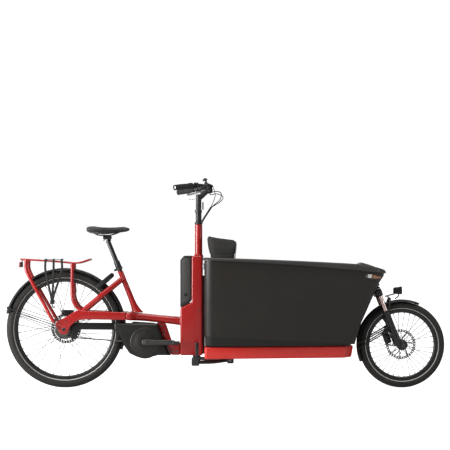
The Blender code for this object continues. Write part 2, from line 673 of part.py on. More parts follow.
# ---------------------------------------------------------------- steering column and bars
def upright(radius, low, high, bore, name, mat, steps=24):
    """A tube round the handlebar's steering axis."""
    return turned(name, [(radius, high), (radius, low), (bore, low), (bore, high), (radius, high)],
                  (STEER_X, 0, 0), (0, 0, 1), mat, steps)


def steering():
    """The steerer, the height-adjustable stem and what the bars carry."""
    steerer = turned("steerer", [
        (0.0175, 1.072), (0.0175, 0.994), (0.0240, 0.994), (0.0240, HEAD_TUBE_TOP + GAP),
        (0.0160, HEAD_TUBE_TOP + GAP), (0.0160, 0.640), (0.0125, 0.640), (0.0125, 1.072),
        (0.0175, 1.072)], (STEER_X, 0, 0), (0, 0, 1), BLACK, 24)
    combine(steerer, cylinder("steerer_clamp", (STEER_X, 0, 1.0724), (STEER_X, 0, 1.052), 0.0200, BLACK, 20))
    combine(steerer, cylinder("steerer_bore", (STEER_X, 0, 0.60), (STEER_X, 0, 1.10), 0.0125, STEEL, 20),
            operation="DIFFERENCE")
    stem = cylinder("stem", (STEER_X, 0, 0.900), (STEER_X, 0, 1.160), 0.0121, BLACK, 20)
    sleeve = cylinder("stem_sleeve", (STEER_X, 0, 1.0735), (STEER_X, 0, 1.162), 0.0168, BLACK, 20)
    arm = cylinder("stem_arm", (STEER_X, 0, 1.142), (-0.0965, 0, 1.190), 0.0165, BLACK, 16)
    grip = cylinder("stem_grip", (-0.0965, -0.024, 1.190), (-0.0965, 0.024, 1.190), 0.0225, BLACK, 20)
    bar_bore = cylinder("bar_bore", (-0.0965, -0.05, 1.190), (-0.0965, 0.05, 1.190), 0.0132, STEEL, 16)
    combine(combine(stem, sleeve, arm, grip), bar_bore, operation="DIFFERENCE")
    lever = block("stem_lever", (STEER_X + 0.0260, 0, 1.094), (0.0080, 0.018, 0.046), BLACK, bevel=0.002)
    lever.name = "stem_lever"


steering()

GRIP_START = Vector((-0.1875, 0.235, 1.2037))
GRIP_END = Vector((-0.2934, 0.310, 1.1890))


def sided(point, side):
    """A left-hand point, mirrored for side -1."""
    return Vector((point[0], side * point[1], point[2]))


def handlebar():
    """The swept bar, its grips, brake levers, twist shifter, display and cables."""
    half = [Vector((-0.0965, 0.0, 1.190)), Vector((-0.0965, 0.045, 1.190)), Vector((-0.100, 0.100, 1.196)),
            Vector((-0.118, 0.155, 1.204)), Vector((-0.148, 0.200, 1.2065)), GRIP_START,
            GRIP_START.lerp(GRIP_END, 0.97)]
    path = [sided(p, -1) for p in half[:0:-1]] + half
    tube("handlebar", smooth_path(path, 3), 0.0111, BLACK)
    along = (GRIP_END - GRIP_START).normalized()
    for side, label in ((-1, "right"), (1, "left")):
        start = GRIP_START + along * (0.034 if side < 0 else 0.004)
        grip = turned(f"grip_{label}", [
            (0.0165, 0.0), (0.0150, -0.010), (0.0160, -(GRIP_END - start).length * 0.55),
            (0.0150, -(GRIP_END - start).length + 0.012), (0.0170, -(GRIP_END - start).length),
            (0.0117, -(GRIP_END - start).length), (0.0117, 0.0), (0.0165, 0.0)],
            sided(start, side), sided(-along, side), RUBBER, 20)
        grip.name = f"grip_{label}"
        mid = GRIP_START - along * 0.022
        clamp = cylinder(f"brake_clamp_{label}", sided(mid + along * 0.009, side), sided(mid - along * 0.009, side),
                         0.0175, BLACK, 16)
        clamp.name = f"brake_body_{label}"
        reach = mid + Vector((0.026, 0.012, -0.016))
        barrel = cylinder(f"brake_barrel_{label}", sided(reach + Vector((0.036, -0.030, 0.002)), side),
                          sided(reach + Vector((-0.006, 0.012, -0.004)), side), 0.0095, BLACK, 12)
        hole = cylinder(f"brake_bore_{label}", sided(mid + along * 0.03, side), sided(mid - along * 0.03, side),
                        0.0138, STEEL, 16)
        combine(combine(clamp, barrel, block(f"brake_bridge_{label}", sided(mid + Vector((0.012, 0.004, -0.012)), side),
                                             (0.026, 0.014, 0.014), BLACK)), hole, operation="DIFFERENCE")
        pivot = reach + Vector((-0.008, 0.020, -0.0245))
        blade = [pivot + Vector((0.012, -0.016, 0.0)), pivot, pivot + Vector((-0.026, 0.024, -0.010)),
                 pivot + Vector((-0.052, 0.044, -0.016)), pivot + Vector((-0.074, 0.062, -0.017))]
        rings = []
        for point, high, thick in zip(blade, (0.005, 0.006, 0.005, 0.007, 0.009), (0.004, 0.005, 0.003, 0.003, 0.003)):
            rings.append([sided(point + Vector((-0.62 * u, -0.62 * u, v)), side) for u, v in
                          ((thick, high), (-thick, high), (-thick, -high), (thick, -high))])
        loft(f"brake_lever_{label}", rings, ALLOY)
    twist = turned("twist_shifter", [
        (0.0185, 0.0), (0.0175, -0.026), (0.0117, -0.026), (0.0117, 0.0), (0.0185, 0.0)],
        sided(GRIP_START + along * 0.0065, -1), sided(-along, -1), RUBBER, 20)
    twist.name = "twist_shifter"
    block("display", (-0.0980, 0, 1.2215), (0.058, 0.086, 0.012), PLASTIC, bevel=0.004, turn_y=22)
    bell = turned("bell", [
        (0.0, 0.0165), (0.009, 0.014), (0.0145, 0.007), (0.0150, 0.0), (0.0, 0.0)],
        (-0.1180, -0.100, 1.240), (-0.3, 0, 1), BLACK, 16)
    combine(bell, cylinder("bell_post", (-0.1010, -0.100, 1.209), (-0.116, -0.100, 1.242), 0.0060, BLACK, 12))


handlebar()


def cables():
    """Hoses from both levers and the display, gathered into one sleeve."""
    gather = (-0.0830, -0.004, 1.086)
    sleeve = tube("control_cables", smooth_path([
        gather, (-0.1020, -0.008, 1.056), (-0.1250, -0.012, 1.020), (-0.1300, -0.014, 0.9965)], 4), 0.0050, RUBBER)
    hoses = [
        tube("hose_right", smooth_path([
            (-0.0870, -0.158, 1.166), (-0.0500, -0.120, 1.176), (-0.0230, -0.060, 1.166),
            (-0.0300, -0.018, 1.132), (-0.0600, -0.008, 1.104), (-0.0860, -0.004, 1.083)], 3), 0.0026, RUBBER, 1),
        tube("hose_left", smooth_path([
            (-0.0870, 0.158, 1.166), (-0.0480, 0.120, 1.172), (-0.0130, 0.060, 1.152),
            (-0.0240, 0.016, 1.124), (-0.0580, 0.004, 1.100), (-0.0860, -0.004, 1.083)], 3), 0.0026, RUBBER, 1),
        tube("display_wire", smooth_path([
            (-0.0660, 0.000, 1.193), (-0.0590, 0.000, 1.160), (-0.0700, 0.000, 1.120),
            (-0.0860, -0.004, 1.083)], 4), 0.0022, RUBBER, 1)]
    combine(sleeve, *hoses)


cables()


# ---------------------------------------------------------------- saddle
def saddle():
    """Seat post with its cradle, and the padded saddle on its rails."""
    top = SEAT_TUBE_TOP + UP_SEAT * 0.204
    turned("post_head", [
        (0.0165, 0.0660), (0.0180, 0.0590), (0.0180, 0.0275), (0.0142, 0.0275), (0.0142, 0.0660),
        (0.0165, 0.0660)], SEAT_TUBE_TOP, UP_SEAT, BLACK, 20)
    post = cylinder("seat_post", SEAT_TUBE_TOP - UP_SEAT * 0.100, top, 0.0136, BLACK, 20)
    combine(post, block("post_cradle", top + Vector((-0.002, 0, 0.0130)), (0.052, 0.040, 0.022), BLACK, bevel=0.004))
    rings = []
    for x, half, low, high in (
            (-0.838, 0.030, 0.944, 0.962), (-0.826, 0.070, 0.936, 0.974), (-0.790, 0.082, 0.928, 0.970),
            (-0.740, 0.074, 0.926, 0.963), (-0.690, 0.048, 0.930, 0.962), (-0.640, 0.028, 0.938, 0.964),
            (-0.590, 0.021, 0.944, 0.966), (-0.569, 0.011, 0.948, 0.960)):
        rings.append([Vector((x, half * y, low + (high - low) * z)) for y, z in (
            (-0.72, 0.0), (0.72, 0.0), (0.96, 0.28), (0.96, 0.62), (0.60, 0.94), (0.2, 1.0),
            (-0.2, 1.0), (-0.60, 0.94), (-0.96, 0.62), (-0.96, 0.28))])
    seat = loft("saddle", rings, RUBBER)
    rails = [tube(f"saddle_rail_{side}", smooth_path([
        (-0.800, side * 0.022, 0.934), (-0.760, side * 0.022, 0.9170), (-0.690, side * 0.022, 0.9170),
        (-0.620, side * 0.014, 0.9420)], 3), 0.0035, STEEL, 1) for side in (-1, 1)]
    combine(seat, *rails)


saddle()


# ---------------------------------------------------------------- drive
def drive():
    """Motor, covers, cranks, pedals and chain."""
    axle = (CRANK_AXLE.x, CRANK_AXLE.z)
    plate("motor_unit", [(-0.575, 0.245), (-0.530, 0.205), (-0.430, 0.205), (-0.380, 0.240),
                         (-0.392, 0.315), (-0.425, 0.388), (-0.560, 0.396), (-0.588, 0.340)],
          0.012, 0.092, PLASTIC)
    outline = [(-0.662, 0.3920), (-0.662, 0.352), (-0.635, 0.330), (-0.602, 0.255), (-0.570, 0.210),
               (-0.535, 0.193), *arc(axle, 0.0985, 250, 300, 4), (-0.400, 0.199), (-0.330, 0.199),
               (-0.352, 0.250), (-0.378, 0.320), (-0.404, 0.3885)]
    rings = [[Vector((x, y, z)) for x, z in grown(outline, -inset)] for y, inset in (
        (-0.0365, 0.0), (-0.0780, 0.0), (-0.0880, 0.010), (-0.0850, 0.013), (-0.0760, 0.003), (-0.0365, 0.003))]
    cover = loft("motor_cover", rings, PLASTIC, caps=False)
    fill = bmesh.new()
    fill.from_mesh(cover.data)
    fill.verts.ensure_lookup_table()
    count = len(outline)
    fill.faces.new([fill.verts[i] for i in range(2 * count, 3 * count)])
    fill.faces.new([fill.verts[i] for i in range(3 * count, 4 * count)])
    middle = [face for face in fill.faces if {v.index // count for v in face.verts} == {2, 3}]
    bmesh.ops.delete(fill, geom=middle, context="FACES_ONLY")
    for i in range(count):
        j = (i + 1) % count
        fill.faces.new([fill.verts[k] for k in (i, j, 5 * count + j, 5 * count + i)])
    bmesh.ops.recalc_face_normals(fill, faces=fill.faces)
    fill.to_mesh(cover.data)
    fill.free()
    chain_slot = block("chain_slot", (-0.640, -0.0470, 0.335), (0.090, 0.027, 0.165), STEEL)
    spindle_hole = cylinder("spindle_hole", CRANK_AXLE + Vector((0, -0.12, 0)), CRANK_AXLE + Vector((0, -0.05, 0)),
                            0.0160, STEEL, 20)
    combine(cover, chain_slot, spindle_hole, operation="DIFFERENCE")
    plate("chain_case", [
        (-0.6625, 0.3925), (-0.885, 0.3935), (-0.912, 0.3800), (-0.927, 0.3550), (-0.925, 0.305),
        (-0.908, 0.292), (-0.886, 0.312), (-0.874, 0.340), (-0.858, 0.3515), (-0.6625, 0.3500)][::-1],
        -0.0605, 0.003, PLASTIC)

    def loop(grow):
        ring_at = 0.0680 + grow
        sprocket_at = 0.0425 + grow
        idler_at = 0.0180 - grow
        return ([*arc((REAR_AXLE.x, REAR_AXLE.z), sprocket_at, 94, 262, 10),
                 *arc((-0.615, 0.2680), idler_at, 98, 62, 3),
                 *arc(axle, ring_at, -134, 94, 14)])
    plate("chain", loop(0.0080)[::-1], CHAIN_LINE, 0.008, STEEL, hole=loop(0.0))

    chainring = turned("chainring", [
        (0.0, 0.0015), (0.0665, 0.0015), (0.0665, -0.0015), (0.0, -0.0015)],
        CRANK_AXLE + Vector((0, CHAIN_LINE, 0)), (0, 1, 0), BLACK, 36)
    arms = {}
    for side, label, forward in ((-1, "right", 1), (1, "left", -1)):
        face = side * 0.104
        outer = CRANK_AXLE + Vector((forward * CRANK_LENGTH, 0, 0))
        rings = []
        for share, high, thick in ((-0.02, 0.016, 0.008), (0.0, 0.018, 0.009), (0.35, 0.0125, 0.007),
                                   (0.9, 0.0115, 0.007), (1.0, 0.014, 0.0065), (1.075, 0.010, 0.006)):
            x = CRANK_AXLE.x + forward * (CRANK_LENGTH * share - (0.012 if share <= 0 else 0))
            rings.append([Vector((x, face + thick * u, CRANK_AXLE.z + high * v)) for u, v in
                          ((-1, -0.6), (-0.6, -1), (0.6, -1), (1, -0.6), (1, 0.6), (0.6, 1), (-0.6, 1), (-1, 0.6))])
        arms[label] = loft(f"crank_{label}", rings, BLACK)
        axle_pin = cylinder(f"pedal_axle_{label}", outer + Vector((0, face - side * 0.004, 0)),
                            outer + Vector((0, face + side * 0.095, 0)), 0.0055, STEEL, 12)
        combine(arms[label], axle_pin)
        body = block(f"pedal_{label}", outer + Vector((0, side * 0.158, 0)), (0.078, 0.076, 0.022), RUBBER,
                     bevel=0.005)
        bore = cylinder(f"pedal_bore_{label}", outer + Vector((0, side * 0.10, 0)),
                        outer + Vector((0, side * 0.22, 0)), 0.0062, STEEL, 12)
        combine(body, bore, operation="DIFFERENCE")
    spindle = cylinder("spindle", CRANK_AXLE + Vector((0, -0.098, 0)), CRANK_AXLE + Vector((0, -0.0505, 0)),
                       0.0125, STEEL, 16)
    combine(arms["right"], spindle, chainring)
    left_spindle = cylinder("left_spindle", CRANK_AXLE + Vector((0, 0.0595, 0)), CRANK_AXLE + Vector((0, 0.098, 0)),
                            0.0125, STEEL, 16)
    combine(arms["left"], left_spindle)


drive()


# ---------------------------------------------------------------- rack, lights, lock, brake, stand
def rack():
    """The carrier of bent tubes over the rear wheel."""
    pieces = []
    for side in (-1, 1):
        pieces.append(tube(f"rack_rear_leg_{side}", [*smooth_path([
            (-1.190, side * 0.059, 0.7700), (-1.190, side * 0.064, 0.715), (-1.164, side * 0.072, 0.655),
            (-1.090, side * 0.084, 0.522), (-1.0190, side * 0.1025, 0.3950)], 2)], 0.0105, RED))
        pieces.append(tube(f"rack_front_leg_{side}", [*smooth_path([
            (-0.914, side * 0.060, 0.7480), (-0.915, side * 0.064, 0.640), (-0.912, side * 0.074, 0.545),
            (-0.893, side * 0.0785, 0.5000), (-0.8850, side * STAY_OFFSET, 0.4905)], 2)], 0.0105, RED))
        pieces.append(tube(f"rack_rail_{side}", smooth_path([
            (-1.225, side * 0.050, 0.7720), (-1.120, side * 0.062, 0.7660), (-1.000, side * 0.062, 0.7580),
            (-0.890, side * 0.060, 0.7500), (-0.808, side * 0.045, 0.7720)], 2), 0.0055, RED, 1))
    for index, (x, z, half) in enumerate(((-1.222, 0.7718, 0.054), (-1.110, 0.7655, 0.066), (-1.000, 0.7580, 0.066),
                                          (-0.895, 0.7505, 0.066), (-0.810, 0.7715, 0.049))):
        pieces.append(cylinder(f"rack_rung_{index}", (x, -half, z), (x, half, z), 0.0050, RED, 6))
    body = combine(pieces[0], *pieces[1:])
    body.name = "rear_rack"
    strap = tube("rack_strap", smooth_path([
        (-1.072, -0.0765, 0.7700), (-1.066, -0.0790, 0.700), (-1.044, -0.0900, 0.580), (-1.032, -0.0980, 0.520)], 3),
        0.0045, WEBBING, 1)
    others = [tube(f"strap_{index}", smooth_path([
        (x, -0.0765, 0.7700), (x, -0.0790, 0.700), (middle, -0.0900, 0.580), (-1.030, -0.0980, 0.520)], 3),
        0.0045, WEBBING, 1) for index, (x, middle) in enumerate(((-1.024, -1.028), (-0.976, -1.014)))]
    bridge = block("strap_bridge", (-1.024, -0.0350, 0.7715), (0.105, 0.092, 0.0040), WEBBING)
    combine(strap, *others, bridge, block("strap_hook", (-1.028, -0.0985, 0.508), (0.040, 0.014, 0.050), RUBBER))
    block("tail_light", (-1.2295, 0, 0.7400), (0.016, 0.086, 0.032), RED_LENS, bevel=0.004)


rack()


def frame_lock():
    """A horseshoe lock round the wheel, above the seat stays."""
    outward = Vector((math.cos(math.radians(41)), 0, math.sin(math.radians(41))))
    tangent = Vector((-outward.z, 0, outward.x))
    middle = Vector((-0.737, 0, 0.628))
    inner, outer = 0.0445, 0.0645
    curve = [(outer, -0.055)] + [(outer * math.cos(a), 0.010 + 0.062 * math.sin(a)) for a in
                                 (math.pi * k / 10 for k in range(11))] + [(-outer, -0.055)]
    inside = [(-inner, -0.055)] + [(inner * math.cos(a), 0.004 + 0.032 * math.sin(a)) for a in
                                   (math.pi - math.pi * k / 10 for k in range(11))] + [(inner, -0.055)]
    rings = [[middle + outward * (0.012 + v) + Vector((0, u, 0)) + tangent * offset for u, v in curve + inside]
             for offset in (-0.013, 0.013)]
    loft("frame_lock", rings, PLASTIC)


frame_lock()


def rear_caliper():
    """The rear brake, over the disc on the left side."""
    body = block("rear_caliper", (-0.955, 0.0465, 0.448), (0.070, 0.031, 0.036), BLACK, bevel=0.004)
    slot = turned("rear_rotor_slot", [(0.0, 0.003), (0.094, 0.003), (0.094, -0.003), (0.0, -0.003)],
                  REAR_AXLE + Vector((0, 0.050, 0)), (0, 1, 0), STEEL, 36)
    combine(body, slot, operation="DIFFERENCE")


rear_caliper()


def kickstand():
    """A stand with two legs, folded back under the platform."""
    pivot = Vector((0.030, 0, 0.1700))
    foot = Vector((-0.174, 0, 0.1640))
    parts = []
    for side in (-1, 1):
        parts.append(tube(f"stand_leg_{side}", smooth_path([
            (pivot.x, side * 0.070, pivot.z), (pivot.x - 0.040, side * 0.070, 0.1660),
            (-0.070, side * 0.120, 0.1620), (foot.x, side * 0.176, foot.z)], 4), 0.0110, BLACK))
        parts.append(block(f"stand_foot_{side}", (foot.x, side * 0.180, 0.169), (0.047, 0.046, 0.052), RUBBER))
    cross = cylinder("stand_cross", (pivot.x, -0.0810, pivot.z), (pivot.x, 0.0810, pivot.z), 0.0120, BLACK, 12)
    lever = block("stand_lever", (-0.166, -0.187, 0.237), (0.020, 0.026, 0.090), BLACK)
    body = combine(cross, *parts, lever)
    body.name = "kickstand"


kickstand()
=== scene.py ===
"""Front-loading cargo bicycle: the looks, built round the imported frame.

Metres, +Z up, +X towards the front wheel, +Y to the rider's left. Each sub-assembly is a class that
holds its sizes and builds its pieces. Each finish is a small frozen class that makes one material.
"""

import json
import logging
from dataclasses import dataclass
from enum import Enum, IntEnum
from math import asin, atan2, copysign, cos, degrees, exp, hypot, pi, radians, sin, sqrt, tau
from typing import Callable, ClassVar, Iterable, Sequence

import bmesh
import bpy
import numpy as np
from bmesh.types import BMEdge, BMesh, BMFace, BMVert
from mathutils import Matrix, Vector

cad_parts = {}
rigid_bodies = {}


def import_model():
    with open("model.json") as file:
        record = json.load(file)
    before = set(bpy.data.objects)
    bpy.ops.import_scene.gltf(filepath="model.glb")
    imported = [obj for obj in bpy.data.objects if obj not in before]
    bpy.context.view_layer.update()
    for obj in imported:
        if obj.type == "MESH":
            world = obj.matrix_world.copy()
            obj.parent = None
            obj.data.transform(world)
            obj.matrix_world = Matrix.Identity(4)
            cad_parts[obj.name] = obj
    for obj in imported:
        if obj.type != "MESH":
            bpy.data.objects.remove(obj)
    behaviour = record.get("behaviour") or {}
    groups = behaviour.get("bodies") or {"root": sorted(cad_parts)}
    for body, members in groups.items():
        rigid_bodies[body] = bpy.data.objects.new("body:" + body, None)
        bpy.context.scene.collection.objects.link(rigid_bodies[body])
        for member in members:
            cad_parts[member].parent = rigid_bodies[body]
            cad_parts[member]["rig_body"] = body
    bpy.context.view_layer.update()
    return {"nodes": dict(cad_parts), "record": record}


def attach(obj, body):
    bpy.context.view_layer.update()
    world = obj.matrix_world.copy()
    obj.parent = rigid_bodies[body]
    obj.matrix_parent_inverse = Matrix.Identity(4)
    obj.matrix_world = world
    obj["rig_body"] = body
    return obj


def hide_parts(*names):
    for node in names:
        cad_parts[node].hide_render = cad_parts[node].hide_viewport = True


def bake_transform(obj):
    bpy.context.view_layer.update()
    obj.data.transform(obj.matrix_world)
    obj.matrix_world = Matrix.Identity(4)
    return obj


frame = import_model()
log = logging.getLogger("cargo_bicycle")

# ---------------------------------------------------------------- shared places, as in the frame
REAR_AXLE = Vector((-0.963, 0.0, 0.353))
FRONT_AXLE = Vector((1.064, 0.0, 0.258))
CRANK_AXLE = Vector((-0.478, 0.0, 0.277))
CROWN = Vector((0.917, 0.0, 0.575))
FORK_LEAN = radians(21.6)
SEAT_LEAN = radians(22.0)
UP_FORK = Vector((-sin(FORK_LEAN), 0.0, cos(FORK_LEAN)))
AHEAD_FORK = Vector((cos(FORK_LEAN), 0.0, sin(FORK_LEAN)))
UP_SEAT = Vector((-sin(SEAT_LEAN), 0.0, cos(SEAT_LEAN)))
SEAT_TOP = Vector((-0.631, 0.0, 0.7))
STEER_X = -0.159
BAR = Vector((-0.0965, 0.0, 1.19))
ACROSS = Vector((0.0, 1.0, 0.0))
UPWARD = Vector((0.0, 0.0, 1.0))
AHEAD = Vector((1.0, 0.0, 0.0))
WELD = 0.000004
RING_WELD = 0.00001
COARSE_WELD = 0.00002
Colour = tuple[float, float, float]
Outline = Sequence[tuple[float, float]]


class Slot(Enum):
    """The record's material slots."""

    RED = "red_paint"
    BLACK = "black_paint"
    PLASTIC = "plastic"
    RUBBER = "rubber"
    TYRE = "tyre"
    STEEL = "steel"
    ALLOY = "alloy"
    FABRIC = "fabric"
    RED_LENS = "red_lens"
    WEBBING = "webbing"


class Side(IntEnum):
    """The two sides of the bicycle, as the sign of Y."""

    RIGHT = -1
    LEFT = 1


# ---------------------------------------------------------------- materials
def operator(operation: str, swapped: bool = False) -> Callable[["Term", "Term | float"], "Term"]:
    """A method of Term that makes a Math node.

    Args:
        operation: The node's operation.
        swapped: Whether the other value comes first.

    Returns:
        The method.
    """
    def apply(this: "Term", other: "Term | float") -> "Term":
        """The node's result for this term and another value."""
        return this.recipe.maths(operation, *((other, this) if swapped else (this, other)))
    return apply


class Term:
    """An output socket that takes part in sums on a material's nodes."""

    def __init__(self, recipe: "Recipe", socket: bpy.types.NodeSocket) -> None:
        """Wraps a socket of this recipe."""
        self.recipe = recipe
        self.socket = socket

    __add__, __radd__ = operator("ADD"), operator("ADD", swapped=True)
    __sub__, __rsub__ = operator("SUBTRACT"), operator("SUBTRACT", swapped=True)
    __mul__, __rmul__ = operator("MULTIPLY"), operator("MULTIPLY", swapped=True)
    __truediv__ = operator("DIVIDE")

    def __abs__(self) -> "Term":
        """The size of self."""
        return self.recipe.maths("ABSOLUTE", self)

    def ease(self, low: float, high: float) -> "Term":
        """0 below low, 1 above high, and a smooth step between them.

        Args:
            low: Where the step starts.
            high: Where it ends.

        Returns:
            The eased value.
        """
        made = self.recipe.node("ShaderNodeMapRange", {"interpolation_type": "SMOOTHSTEP"},
            {"Value": self, "From Min": low, "From Max": high})
        return Term(self.recipe, made.outputs["Result"])


class Recipe:
    """A material in the making, round one Principled shader."""

    def __init__(self, name: str) -> None:
        """Starts a material of this name."""
        self.material = bpy.data.materials.new(name)
        self.material.use_nodes = True
        self.tree = self.material.node_tree
        self.shader = self.tree.nodes["Principled BSDF"]

    def node(self, kind: str, settings: dict | None = None, sockets: dict | None = None) -> bpy.types.Node:
        """Makes a node.

        Args:
            kind: The node's type.
            settings: Attributes, set before any socket.
            sockets: Numbers, colours or Terms by input name or number.

        Returns:
            The node.
        """
        made = self.tree.nodes.new(kind)
        for key, value in (settings or {}).items():
            setattr(made, key, value)
        for key, value in (sockets or {}).items():
            if isinstance(value, Term):
                self.tree.links.new(value.socket, made.inputs[key])
            else:
                made.inputs[key].default_value = value
        return made

    def maths(self, operation: str, *values: "Term | float") -> Term:
        """A Math node on these values."""
        made = self.node("ShaderNodeMath", {"operation": operation}, dict(enumerate(values)))
        return Term(self, made.outputs[0])

    def place(self, centre: Sequence[float] = (0, 0, 0), turn: Sequence[float] = (0, 0, 0),
            stretch: Sequence[float] = (1, 1, 1)) -> Term:
        """Object coordinates about a point.

        Args:
            centre: Where the pattern is centred.
            turn: Its turn, in radians.
            stretch: How much each axis is scaled afterwards.

        Returns:
            The coordinates as a vector.
        """
        coordinates = self.node("ShaderNodeTexCoord")
        mapped = self.node("ShaderNodeMapping", {"vector_type": "TEXTURE"},
            {"Vector": Term(self, coordinates.outputs["Object"]), "Location": centre, "Rotation": turn})
        scaled = self.node("ShaderNodeVectorMath", {"operation": "MULTIPLY"},
            {0: Term(self, mapped.outputs["Vector"]), 1: stretch})
        return Term(self, scaled.outputs["Vector"])

    def split(self, vector: Term) -> tuple[Term, Term, Term]:
        """The three numbers of a vector."""
        parts = self.node("ShaderNodeSeparateXYZ", None, {"Vector": vector})
        return tuple(Term(self, output) for output in parts.outputs)

    def noise(self, scale: float, vector: Term | None = None, detail: float = 3.0, rough: float = 0.5) -> Term:
        """Soft noise from 0 to 1."""
        made = self.node("ShaderNodeTexNoise", None, {"Vector": vector or self.place(), "Scale": scale,
            "Detail": detail, "Roughness": rough})
        return Term(self, made.outputs["Fac"])

    def cells(self, scale: float, vector: Term | None = None, feature: str = "SMOOTH_F1") -> Term:
        """Distance within cells, for grain."""
        made = self.node("ShaderNodeTexVoronoi", {"feature": feature},
            {"Vector": vector or self.place(), "Scale": scale})
        return Term(self, made.outputs["Distance"])

    def streaks(self, value: Term, scale: float) -> Term:
        """Noise along one number, such as a radius."""
        made = self.node("ShaderNodeTexNoise", {"noise_dimensions": "1D"},
            {"W": value * scale, "Scale": 1.0, "Detail": 4.0})
        return Term(self, made.outputs["Fac"])

    def blend(self, mask: Term, below: "Term | Colour", above: "Term | Colour") -> Term:
        """A colour that goes from one to another as the mask goes from 0 to 1."""
        colours = [c if isinstance(c, Term) else (*c, 1.0) for c in (below, above)]
        made = self.node("ShaderNodeMix", {"data_type": "RGBA"}, {0: mask, 6: colours[0], 7: colours[1]})
        return Term(self, made.outputs[2])

    def bump(self, height: Term, strength: float, depth: float) -> Term:
        """A normal from a height."""
        made = self.node("ShaderNodeBump", None, {"Height": height, "Strength": strength, "Distance": depth})
        return Term(self, made.outputs["Normal"])

    def done(self, **sockets: "Term | float | tuple") -> bpy.types.Material:
        """Sets the shader's sockets, named with _ for a space.

        Args:
            sockets: Numbers, colours or Terms by socket name.

        Returns:
            The material.
        """
        names = {s.name.lower().replace(" ", "_"): s for s in self.shader.inputs}
        for key, value in sockets.items():
            socket = names[key]
            if isinstance(value, Term):
                self.tree.links.new(value.socket, socket)
            else:
                socket.default_value = value
        return self.material


MADE: dict[str, bpy.types.Material] = {}


@dataclass(frozen=True)
class Finish:
    """What finishes share: a slot of the record, and one material for each set of values."""

    slot: ClassVar[Slot] = Slot.PLASTIC

    def material(self) -> bpy.types.Material:
        """The finish's material, made once."""
        key = repr(self)
        if key not in MADE:
            MADE[key] = self.mix(Recipe(f"{type(self).__name__}_{len(MADE):02d}"))
        return MADE[key]

    def mix(self, recipe: Recipe) -> bpy.types.Material:
        """Makes the material on this recipe."""
        raise NotImplementedError


@dataclass(frozen=True)
class GlossPaint(Finish):
    """Clear-coated paint with a faint orange peel and road dust low down."""

    slot: ClassVar[Slot] = Slot.RED
    colour: Colour = (0.345, 0.0072, 0.0062)
    dust: Colour = (0.42, 0.03, 0.022)

    def mix(self, recipe: Recipe) -> bpy.types.Material:
        """Makes the paint."""
        height = recipe.split(recipe.place())[2]
        cloud = recipe.noise(9.0, detail=5.0)
        low = (1.0 - height.ease(0.1, 0.6)) * recipe.noise(26.0, detail=6.0, rough=0.65).ease(0.42, 0.75)
        shade = tuple(c * 0.86 for c in self.colour)
        base = recipe.blend(low * 0.35, recipe.blend(cloud, self.colour, shade), self.dust)
        peel = recipe.noise(420.0, detail=1.0)
        return recipe.done(base_color=base, roughness=0.24 + cloud * 0.1 + low * 0.18, coat_weight=0.42,
            coat_roughness=0.05, specular_ior_level=0.32, normal=recipe.bump(peel, 0.06, 0.0006))


@dataclass(frozen=True)
class SatinPaint(Finish):
    """Powder coat over metal, fine grained and half matt."""

    slot: ClassVar[Slot] = Slot.BLACK
    colour: Colour = (0.008, 0.0078, 0.008)
    roughness: float = 0.36

    def mix(self, recipe: Recipe) -> bpy.types.Material:
        """Makes the coat."""
        cloud = recipe.noise(24.0, detail=5.0)
        grain = recipe.cells(1500.0)
        light = tuple(min(1.0, c * 1.6 + 0.002) for c in self.colour)
        return recipe.done(base_color=recipe.blend(cloud.ease(0.3, 0.8), self.colour, light),
            roughness=self.roughness + cloud * 0.14, coat_weight=0.12, coat_roughness=0.2, specular_ior_level=0.4,
            normal=recipe.bump(grain, 0.1, 0.0005))


@dataclass(frozen=True)
class Moulded(Finish):
    """Moulded plastic with a leather-like grain."""

    slot: ClassVar[Slot] = Slot.PLASTIC
    colour: Colour = (0.026, 0.024, 0.023)
    roughness: float = 0.52
    grain: float = 620.0

    def mix(self, recipe: Recipe) -> bpy.types.Material:
        """Makes the plastic."""
        cloud = recipe.noise(5.0, detail=6.0, rough=0.6)
        scuff = recipe.noise(60.0, recipe.place(stretch=(0.25, 0.25, 1.0)), detail=8.0, rough=0.7).ease(0.62, 0.8)
        light = tuple(c * 1.22 + 0.0006 for c in self.colour)
        base = recipe.blend(scuff * 0.3, recipe.blend(cloud.ease(0.25, 0.8), self.colour, light),
            tuple(c * 1.8 + 0.005 for c in self.colour))
        grain = recipe.cells(self.grain) + 0.4 * recipe.noise(self.grain * 2.5, detail=1.0)
        return recipe.done(base_color=base, roughness=self.roughness - 0.04 + cloud * 0.07 + scuff * 0.06,
            specular_ior_level=0.34, normal=recipe.bump(grain, 0.22, 0.0012))


